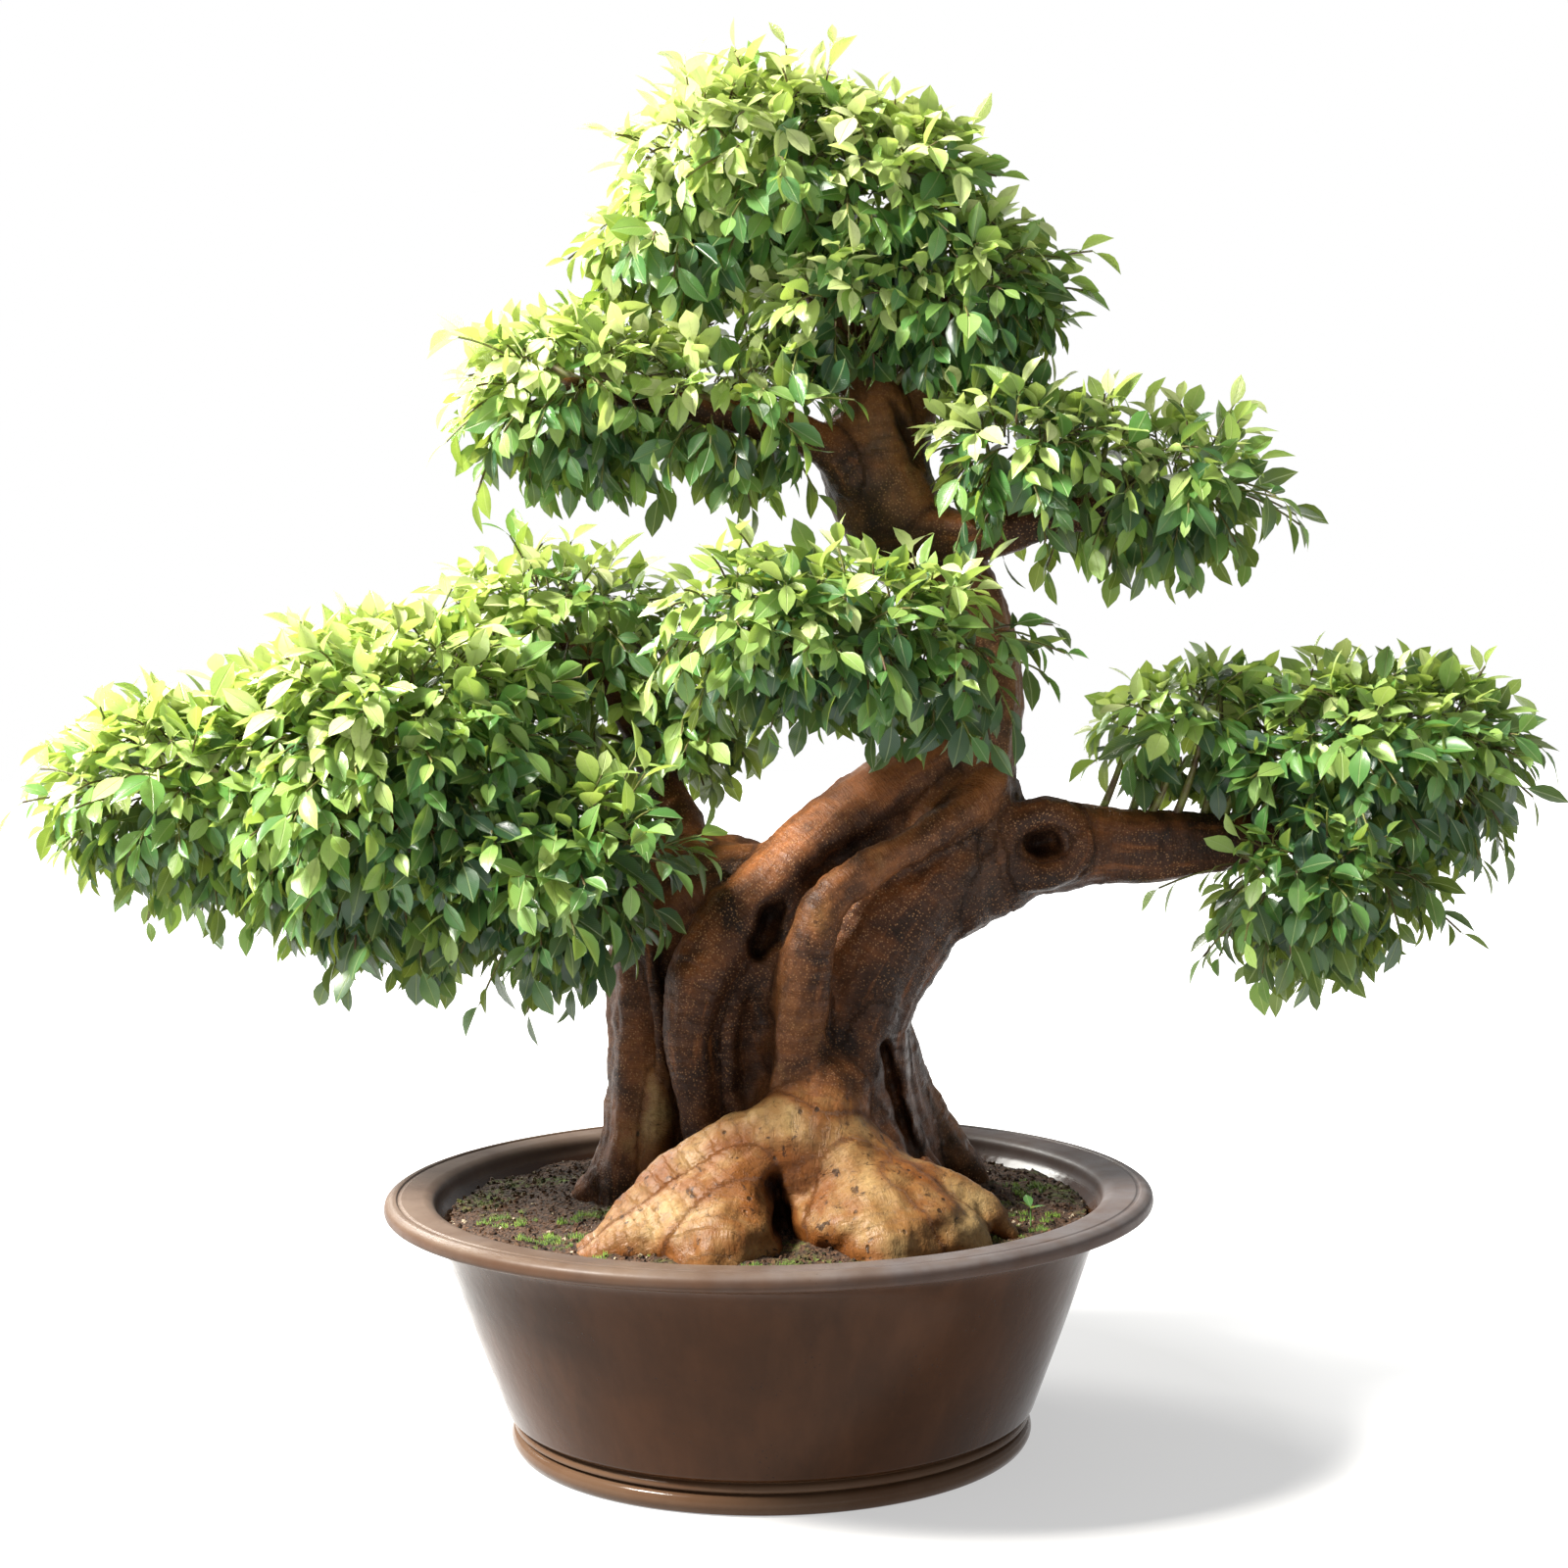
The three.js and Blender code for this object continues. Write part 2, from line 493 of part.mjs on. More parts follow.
// Places for sprigs all over a core. Each is as far as can be from those before it.
function sprigSites(core) {
  const faces = [...stemFaces(core)];
  const sites = [];
  const clearance = ({ point }) => Math.min(...sites.map((site) => site.point.distanceTo(point)));
  for (;;) {
    const next = faces.reduce((best, face) => (clearance(face) > clearance(best) ? face : best));
    if (clearance(next) < SPRIG_SPACING) return sites;
    sites.push(next);
  }
}

function touches(solid, others) {
  return others.some((other) => !solid.intersect(other).isEmpty());
}

// The sprigs of a pad. One that would meet a neighbour or another sprig, or lie on the core, is turned
// and made smaller, and is left out after a few tries.
function makeSprigs(core, neighbours, seed) {
  const random = randomSource(seed);
  const sprigs = [];
  for (const site of sprigSites(core)) {
    for (let attempt = 0; attempt < SPRIG_TRIES; attempt += 1) {
      const sprig = {
        ...site,
        turn: 2 * Math.PI * random(),
        tilt: THREE.MathUtils.lerp(...LEAF_TILT, random()),
        rise: THREE.MathUtils.lerp(...STEM_RISE, random()),
        length: LEAF_LENGTH * (0.9 + 0.2 * random()) * (1 - 0.06 * attempt),
      };
      const roomy = toSolid(sprigGeometry({ ...sprig, spread: SPRIG_ROOM }));
      const leaves = toSolid(sprigGeometry({ ...sprig, spread: SPRIG_ROOM, sink: -STEM_TIP }));
      if (touches(roomy, [...neighbours, ...sprigs]) || touches(leaves, [core])) continue;
      sprigs.push(toSolid(sprigGeometry(sprig)));
      break;
    }
  }
  return sprigs;
}

// The leafy pads, each a core with its sprigs
function makePads(woodRoom) {
  const cores = makeCores(woodRoom);
  const finished = [];
  for (const [index, core] of cores.entries()) {
    const others = cores.filter((other) => other !== core);
    const sprigs = makeSprigs(core, [woodRoom, ...others, ...finished], SEED + index);
    finished.push(joined([core, ...sprigs]));
  }
  return finished;
}

function namedMesh(name, solid, finish) {
  const mesh = new THREE.Mesh(toGeometry(solid), new THREE.MeshStandardMaterial(FINISH[finish]));
  mesh.name = name;
  return mesh;
}

const tree = new THREE.Group();
const wood = makeWood();
const woodRoom = makeLimbs(GAP);
tree.add(namedMesh('pot', makePot(), 'glaze'));
for (let hole = 0; hole < DRAIN_COUNT; hole += 1) {
  tree.add(namedMesh(`drain_screen_${hole + 1}`, makeScreen(hole), 'screen'));
}
tree.add(namedMesh('drainage_grit', makeGrit(), 'grit'));
tree.add(namedMesh('soil', makeSoil().subtract(woodRoom), 'soil'));
tree.add(namedMesh('trunk', wood, 'bark'));
for (const [index, pad] of makePads(woodRoom).entries()) {
  tree.add(namedMesh(PADS[index].name, pad, 'leaf'));
}

export default tree;
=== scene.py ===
"""Visual model of a Chinese banyan (Ficus microcarpa) bonsai growing in its round glazed pot.

Everything is in metres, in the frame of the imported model: +Z up, the pot's base on z = 0 with its axis
through the origin, and the front of the tree towards -Y. Routes and sizes that are easier to read in
millimetres are given so, and are turned into metres where they are used.
"""

import logging
import math
from dataclasses import dataclass, field
from enum import Enum
from typing import Any, Iterable, Iterator, Mapping, Sequence

import bmesh
import bpy
import numpy as np
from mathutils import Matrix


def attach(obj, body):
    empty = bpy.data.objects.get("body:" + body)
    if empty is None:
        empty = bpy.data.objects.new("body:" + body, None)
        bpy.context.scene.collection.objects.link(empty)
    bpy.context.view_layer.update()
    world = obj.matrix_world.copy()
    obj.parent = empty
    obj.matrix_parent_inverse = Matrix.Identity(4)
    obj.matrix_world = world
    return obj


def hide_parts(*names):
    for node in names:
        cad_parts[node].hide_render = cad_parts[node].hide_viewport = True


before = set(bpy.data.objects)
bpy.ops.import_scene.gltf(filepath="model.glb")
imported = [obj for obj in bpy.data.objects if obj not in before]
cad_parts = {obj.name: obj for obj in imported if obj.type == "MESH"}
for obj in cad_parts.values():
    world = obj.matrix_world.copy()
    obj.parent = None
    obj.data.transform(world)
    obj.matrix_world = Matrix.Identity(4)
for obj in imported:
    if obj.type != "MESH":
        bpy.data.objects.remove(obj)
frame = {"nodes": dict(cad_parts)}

import openvdb
from mathutils import Matrix, Vector

LOG = logging.getLogger("bonsai")
MM = 0.001
GOLDEN_ANGLE = math.pi * (3 - math.sqrt(5))

Colour = tuple[float, float, float]
Point = tuple[float, float, float]
Route = tuple[tuple[float, float, float, float], ...]
Inputs = Mapping[Any, Any]
Socket = bpy.types.NodeSocket
Thing = bpy.types.Object
Paint = bpy.types.Material


def rgb(hex_code: int) -> tuple[float, float, float, float]:
    """Turns a screen colour into linear light.

    Args:
        hex_code: The colour as 0xRRGGBB.

    Returns:
        Linear red, green and blue, and an alpha of one.
    """
    parts = [(hex_code >> shift & 255) / 255 for shift in (16, 8, 0)]
    linear = [((c + 0.055) / 1.055) ** 2.4 if c > 0.04045 else c / 12.92 for c in parts]
    return (*linear, 1.0)


class Graph:
    """A node tree being written, for a material or for geometry."""

    def __init__(self, tree: bpy.types.NodeTree) -> None:
        """Starts from an empty tree.

        Args:
            tree: The tree, whose nodes are removed.
        """
        self.tree = tree
        tree.nodes.clear()

    def join(self, value: Any, socket: Socket) -> None:
        """Feeds a socket from another socket, a node's first output, or a plain value.

        Args:
            value: What feeds it.
            socket: The socket.
        """
        if isinstance(value, bpy.types.Node):
            value = next(output for output in value.outputs if output.enabled)
        if isinstance(value, Socket):
            self.tree.links.new(value, socket)
        else:
            socket.default_value = value

    def node(self, kind: str, inputs: Inputs | None = None, **settings: Any) -> bpy.types.Node:
        """Adds a node.

        Args:
            kind: Blender's name for the type of node.
            inputs: What feeds its sockets, by name or by number.
            **settings: The node's own properties.

        Returns:
            The new node.
        """
        node = self.tree.nodes.new(kind)
        for name, value in settings.items():
            setattr(node, name, value)
        for key, value in (inputs or {}).items():
            if isinstance(key, int):
                socket = node.inputs[key]
            else:
                socket = next(s for s in node.inputs if s.name == key and s.enabled)
            self.join(value, socket)
        return node

    def maths(self, operation: str, *values: Any) -> Socket:
        """Works on one to three numbers and returns the result's socket."""
        node = self.node("ShaderNodeMath", dict(enumerate(values)), operation=operation)
        return node.outputs[0]

    def vectors(self, operation: str, *values: Any) -> Socket:
        """Works on vectors and returns the resulting vector's socket."""
        return self.node("ShaderNodeVectorMath", dict(enumerate(values)), operation=operation).outputs[0]

    def scaled(self, vector: Any, factor: Any) -> Socket:
        """Multiplies a vector by a number."""
        node = self.node("ShaderNodeVectorMath", {0: vector, "Scale": factor}, operation="SCALE")
        return node.outputs[0]

    def span(self, value: Any, low: float, high: float, to_low: float = 0.0,
             to_high: float = 1.0) -> Socket:
        """Maps a number from one range to another, held at its ends."""
        inputs = {"Value": value, "From Min": low, "From Max": high, "To Min": to_low, "To Max": to_high}
        return self.node("ShaderNodeMapRange", inputs).outputs[0]

    def times(self, first: Any, second: Any) -> Socket:
        """Multiplies two numbers."""
        return self.maths("MULTIPLY", first, second)

    def plus(self, first: Any, second: Any) -> Socket:
        """Adds two numbers."""
        return self.maths("ADD", first, second)

    def axes(self, vector: Any) -> Any:
        """Takes a vector apart into its three numbers."""
        return self.node("ShaderNodeSeparateXYZ", {0: vector}).outputs

    def combine(self, x: Any, y: Any, z: Any) -> Socket:
        """Makes a vector of three numbers."""
        return self.node("ShaderNodeCombineXYZ", {0: x, 1: y, 2: z}).outputs[0]


class Material(Graph):
    """A procedural material being written."""

    def __init__(self, name: str) -> None:
        """Makes an empty material.

        Args:
            name: Its name.
        """
        self.material = bpy.data.materials.new(name)
        self.material.use_nodes = True
        super().__init__(self.material.node_tree)
        self.place = self.node("ShaderNodeTexCoord").outputs["Object"]

    def noise(self, scale: float, detail: float = 3.0, vector: Any = None, roughness: float = 0.55,
              distortion: float = 0.0) -> Socket:
        """Soft cloudy noise, in cycles per metre unless a vector is given."""
        inputs = {"Vector": self.place if vector is None else vector, "Scale": scale, "Detail": detail,
                  "Roughness": roughness, "Distortion": distortion}
        return self.node("ShaderNodeTexNoise", inputs).outputs[0]

    def cells(self, scale: float, vector: Any = None, feature: str = "F1",
              output: str = "Distance") -> Socket:
        """Distance to the nearest of many scattered points, or their random colour."""
        inputs = {"Vector": self.place if vector is None else vector, "Scale": scale}
        return self.node("ShaderNodeTexVoronoi", inputs, feature=feature).outputs[output]

    def attribute(self, name: str, output: str = "Fac") -> Socket:
        """A value stored on the mesh."""
        return self.node("ShaderNodeAttribute", attribute_name=name).outputs[output]

    def mix(self, share: Any, first: Any, second: Any) -> Socket:
        """Mixes two colours.

        Args:
            share: How much of the second colour shows.
            first: The colour below, as a socket or as 0xRRGGBB.
            second: The colour above.

        Returns:
            The mixed colour's socket.
        """
        first, second = (rgb(colour) if isinstance(colour, int) else colour for colour in (first, second))
        return self.node("ShaderNodeMix", {0: share, 6: first, 7: second}, data_type="RGBA").outputs[2]

    def stretched(self, vector: Any, scale: Sequence[float]) -> bpy.types.Node:
        """Stretches a vector, so that a pattern over it is squeezed."""
        return self.node("ShaderNodeMapping", {"Vector": vector, "Scale": tuple(scale)})

    def bump(self, height: Any, depth: float, strength: float = 1.0, below: Any = None) -> Any:
        """Tilts the surface as a relief of that depth in metres would.

        Args:
            height: The relief, from zero to one.
            depth: How deep it is.
            strength: How much of it shows.
            below: A coarser relief that it lies on.

        Returns:
            The tilted normal.
        """
        inputs: dict[Any, Any] = {"Height": height, "Distance": depth, "Strength": strength}
        if below is not None:
            inputs["Normal"] = below
        return self.node("ShaderNodeBump", inputs).outputs[0]

    def finish(self, colour: Any, rough: Any, normal: Any = None, specular: float = 0.5,
               glow: Any = None, share: float = 0.0, **others: Any) -> Paint:
        """Ends the material in a Principled surface, through which a thin blade lets some light.

        Args:
            colour: Its colour.
            rough: Its roughness.
            normal: The normal that its relief gives.
            specular: How strongly it shines.
            glow: The colour of the light that comes through, if any does.
            share: How much of the light that is.
            **others: The shader's other inputs, with _ for a space.

        Returns:
            The finished material.
        """
        inputs = {"Base Color": colour, "Roughness": rough, "Specular IOR Level": specular}
        inputs.update({name.replace("_", " "): value for name, value in others.items()})
        if normal is not None:
            inputs["Normal"] = normal
        shader = self.node("ShaderNodeBsdfPrincipled", inputs).outputs[0]
        if glow is not None:
            through = self.node("ShaderNodeBsdfTranslucent", {"Color": glow})
            mixed = self.node("ShaderNodeMixShader", {0: share, 1: shader, 2: through.outputs[0]})
            shader = mixed.outputs[0]
        self.node("ShaderNodeOutputMaterial", {"Surface": shader})
        return self.material


class GeometryTree(Graph):
    """A geometry node tree being written, with named inputs for its sizes."""

    SOCKETS = {float: "NodeSocketFloat", int: "NodeSocketInt"}

    def __init__(self, name: str, values: Mapping[str, Any]) -> None:
        """Makes the tree's inputs.

        Args:
            name: The tree's name.
            values: Each input's name and its value, a number, an object or a material.
        """
        super().__init__(bpy.data.node_groups.new(name, "GeometryNodeTree"))
        self.values = dict(values)
        self.sockets: dict[str, str] = {}
        self.tree.interface.new_socket("Geometry", in_out="INPUT", socket_type="NodeSocketGeometry")
        self.tree.interface.new_socket("Geometry", in_out="OUTPUT", socket_type="NodeSocketGeometry")
        for key, value in values.items():
            thing = "NodeSocketMaterial" if isinstance(value, Paint) else "NodeSocketObject"
            kind = self.SOCKETS.get(type(value), thing)
            socket = self.tree.interface.new_socket(key, in_out="INPUT", socket_type=kind)
            self.sockets[key] = socket.identifier
        self.given = self.node("NodeGroupInput")

    def value(self, name: str) -> Socket:
        """The socket of a named input."""
        return self.given.outputs[name]

    def random(self, low: Any, high: Any, salt: int, kind: str = "FLOAT") -> Socket:
        """A seeded random value between two others, for each point.

        Args:
            low: The least value.
            high: The greatest value.
            salt: A number that sets it apart from other draws.
            kind: The value's type.

        Returns:
            The value.
        """
        seed = self.plus(self.value("Seed"), float(salt))
        node = self.node("FunctionNodeRandomValue", {"Min": low, "Max": high, "Seed": seed}, data_type=kind)
        return next(output for output in node.outputs if output.enabled)

    def store(self, geometry: Any, name: str, value: Any, domain: str, kind: str = "FLOAT") -> Any:
        """Keeps a value on the geometry under a name."""
        inputs = {"Geometry": geometry, "Name": name, "Value": value}
        return self.node("GeometryNodeStoreNamedAttribute", inputs, data_type=kind, domain=domain).outputs[0]

    def named(self, name: str, kind: str = "FLOAT") -> Socket:
        """Reads a value that is kept on the geometry."""
        return self.node("GeometryNodeInputNamedAttribute", {"Name": name}, data_type=kind).outputs[0]

    def noise(self, scale: float, detail: float, vector: Any = None, distortion: float = 0.0) -> Socket:
        """Soft cloudy noise over the place, or over another vector.

        Args:
            scale: Cycles per metre.
            detail: How many finer layers it has.
            vector: What it is read over, if not the place.
            distortion: How far it is warped.

        Returns:
            Its value.
        """
        inputs: dict[Any, Any] = {"Scale": scale, "Detail": detail, "Distortion": distortion}
        if vector is not None:
            inputs["Vector"] = vector
        return self.node("ShaderNodeTexNoise", inputs).outputs[0]

    def clumps(self) -> Socket:
        """Cloudy noise over the place, which gathers the twigs into tufts."""
        return self.noise(17.0, 2.0)

    def gap_to(self, name: str, place: Any = None) -> Socket:
        """The distance to a named input's object, from each point or from another place.

        Args:
            name: The input.
            place: The other place, if any.

        Returns:
            The distance in metres.
        """
        target = self.node("GeometryNodeObjectInfo", {"Object": self.value(name)})
        inputs: dict[Any, Any] = {0: target.outputs["Geometry"]}
        if place is not None:
            inputs["Sample Position"] = place
        return self.node("GeometryNodeProximity", inputs).outputs["Distance"]

    def shape(self, thing: Any) -> Socket:
        """An object, ready to be set on points."""
        return self.node("GeometryNodeObjectInfo", {"Object": thing, "As Instance": True}).outputs["Geometry"]

    def painted(self, geometry: Any, name: str) -> Socket:
        """Gives geometry a named input's material."""
        inputs = {"Geometry": geometry, "Material": self.value(name)}
        return self.node("GeometryNodeSetMaterial", inputs).outputs[0]

    def planted(self, instances: Any, name: str) -> Socket:
        """Makes instances real and gives them a named input's material."""
        return self.painted(self.node("GeometryNodeRealizeInstances", {0: instances}).outputs[0], name)

    def shifted(self, geometry: Any, offset: Any) -> Socket:
        """Moves each point of geometry."""
        return self.node("GeometryNodeSetPosition", {"Geometry": geometry, "Offset": offset}).outputs[0]

    def aimed(self, axis: Any, face: Any) -> Socket:
        """A turn that sends Y along one vector and Z as near as it can to another.

        Args:
            axis: Where Y goes.
            face: Where Z goes, as near as it can.

        Returns:
            The rotation.
        """
        kind = "FunctionNodeAlignRotationToVector"
        first = self.node(kind, {"Vector": axis}, axis="Y").outputs[0]
        return self.node(kind, {"Rotation": first, "Vector": face}, axis="Z", pivot_axis="Y").outputs[0]

    def output(self, geometry: Any) -> None:
        """Ends the tree."""
        self.node("NodeGroupOutput", {"Geometry": geometry})

    def apply(self, base: Thing, name: str) -> Thing:
        """Runs the tree on an object and keeps the result as a plain mesh.

        Args:
            base: The object that the tree starts from, which is removed afterwards.
            name: The new object's name.

        Returns:
            The new object, at the origin.
        """
        modifier = base.modifiers.new(name, "NODES")
        modifier.node_group = self.tree
        for key, value in self.values.items():
            modifier[self.sockets[key]] = value
        made = evaluated(base, name)
        base.modifiers.remove(modifier)
        bpy.data.objects.remove(base)
        return made


def linked(obj: Thing) -> Thing:
    """Puts an object in the scene."""
    bpy.context.scene.collection.objects.link(obj)
    return obj


def evaluated(base: Thing, name: str) -> Thing:
    """A new object with the mesh that an object's modifiers make.

    Args:
        base: The object.
        name: The new object's name.

    Returns:
        The new object, in the scene.
    """
    graph = bpy.context.evaluated_depsgraph_get()
    graph.update()
    mesh = bpy.data.meshes.new_from_object(base.evaluated_get(graph), depsgraph=graph)
    mesh.name = name
    return linked(bpy.data.objects.new(name, mesh))


def mesh_object(name: str, vertices: Any, faces: Any) -> Thing:
    """Makes a smoothly shaded object from vertices and faces.

    Args:
        name: The object's name.
        vertices: Points in metres.
        faces: Lists of vertex numbers.

    Returns:
        The object, in the scene.
    """
    mesh = bpy.data.meshes.new(name)
    mesh.from_pydata([tuple(map(float, v)) for v in vertices], [], [tuple(map(int, f)) for f in faces])
    mesh.update()
    mesh.polygons.foreach_set("use_smooth", [True] * len(mesh.polygons))
    return linked(bpy.data.objects.new(name, mesh))


def from_shape(name: str, shape: bmesh.types.BMesh) -> Thing:
    """Makes an object, out of view, of a shape that is done with.

    Args:
        name: The object's name.
        shape: The shape, which is freed.

    Returns:
        The object.
    """
    mesh = bpy.data.meshes.new(name)
    shape.to_mesh(mesh)
    shape.free()
    return bpy.data.objects.new(name, mesh)


def paint(obj: Thing, material: Paint) -> None:
    """Gives an object one material alone."""
    obj.data.materials.clear()
    obj.data.materials.append(material)


def keep(obj: Thing, name: str, values: np.ndarray) -> None:
    """Stores a number or a vector for each vertex of an object.

    Args:
        obj: The object.
        name: The value's name.
        values: One row for each vertex.
    """
    kind, key = ("FLOAT_VECTOR", "vector") if values.ndim == 2 else ("FLOAT", "value")
    stored = obj.data.attributes.new(name, kind, "POINT")
    stored.data.foreach_set(key, np.ascontiguousarray(values, dtype=np.float32).ravel())


def count_triangles(obj: Thing) -> int:
    """The number of triangles in an object's mesh."""
    return sum(len(polygon.vertices) - 2 for polygon in obj.data.polygons)


def settle(obj: Thing, slot: str, *nodes: str) -> Thing:
    """Makes a finished piece part of the object.

    Args:
        obj: The piece.
        slot: The record's material slot that the piece belongs to, which is not used.
        *nodes: The solids that it stands for, if any.

    Returns:
        The same piece.
    """
    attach(obj, "root")
    if nodes:
        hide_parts(*nodes)
    LOG.info("%s: %d triangles", obj.name, count_triangles(obj))
    return obj


@dataclass(frozen=True)
class GlazeFinish:
    """Brown stoneware glaze with a paler, worn lip.

    Attributes:
        body: The wall's colour.
        shade: The darker clouds in it.
        streak: The paler runs in it.
        lip: The rim's tan side.
        lip_cool: The rim's grey-lilac side.
        lip_stain: The stains on the rim.
        band: The worn bands of the foot.
        pit: The pinholes.
        lip_from: The height from which the rim is worn.
        bands_to: The height up to which the foot's bands are worn.
    """

    body: int = 0x3C2311
    shade: int = 0x2A190C
    streak: int = 0x4A2E1B
    lip: int = 0x5F4F43
    lip_cool: int = 0x5F5A5A
    lip_stain: int = 0x4E3D32
    band: int = 0x5E4A3A
    pit: int = 0x1D130D
    lip_from: float = 0.1915
    bands_to: float = 0.0235

    def material(self) -> Paint:
        """Builds the glaze.

        Returns:
            The finished material.
        """
        sheet = Material("glaze")
        x, _, z = sheet.axes(sheet.place)
        clouds = sheet.noise(9.0, 5.0, roughness=0.62)
        streaks = sheet.noise(1.0, 4.0, sheet.stretched(sheet.place, (45.0, 45.0, 6.0)))
        colour = sheet.mix(sheet.span(clouds, 0.35, 0.68, 0.0, 0.7), self.body, self.shade)
        colour = sheet.mix(sheet.span(streaks, 0.45, 0.75, 0.0, 0.35), colour, self.streak)
        side = sheet.plus(x, sheet.span(clouds, 0.3, 0.7, -0.16, 0.16))
        lip = sheet.mix(sheet.span(side, -0.16, 0.2), self.lip, self.lip_cool)
        lip = sheet.mix(sheet.span(sheet.noise(38.0, 5.0), 0.42, 0.7, 0.0, 0.5), lip, self.lip_stain)
        worn = sheet.span(z, self.lip_from, self.lip_from + 0.004)
        bare = sheet.times(worn, sheet.span(sheet.noise(16.0, 4.0), 0.25, 0.6, 0.55, 1.0))
        _, _, up = sheet.axes(sheet.node("ShaderNodeNewGeometry").outputs["Normal"])
        bare = sheet.times(bare, sheet.span(up, 0.1, 0.8, 0.3, 1.0))
        colour = sheet.mix(bare, colour, lip)
        bands = sheet.span(z, self.bands_to + 0.004, self.bands_to, 0.0, 0.6)
        bands = sheet.times(bands, sheet.span(clouds, 0.25, 0.5, 0.5, 1.0))
        colour = sheet.mix(bands, colour, self.band)
        pits = sheet.span(sheet.cells(210.0), 0.1, 0.16, 1.0, 0.0)
        pits = sheet.times(pits, sheet.span(sheet.noise(30.0, 2.0), 0.56, 0.66))
        colour = sheet.mix(sheet.times(pits, 0.8), colour, self.pit)
        relief = sheet.maths("SUBTRACT", sheet.noise(95.0, 3.0), pits)
        rough = sheet.span(sheet.noise(55.0, 4.0), 0.3, 0.7, 0.12, 0.22)
        rough = sheet.plus(rough, sheet.times(worn, 0.26))
        return sheet.finish(colour, rough, sheet.bump(relief, 0.0006, 0.35), 0.13)


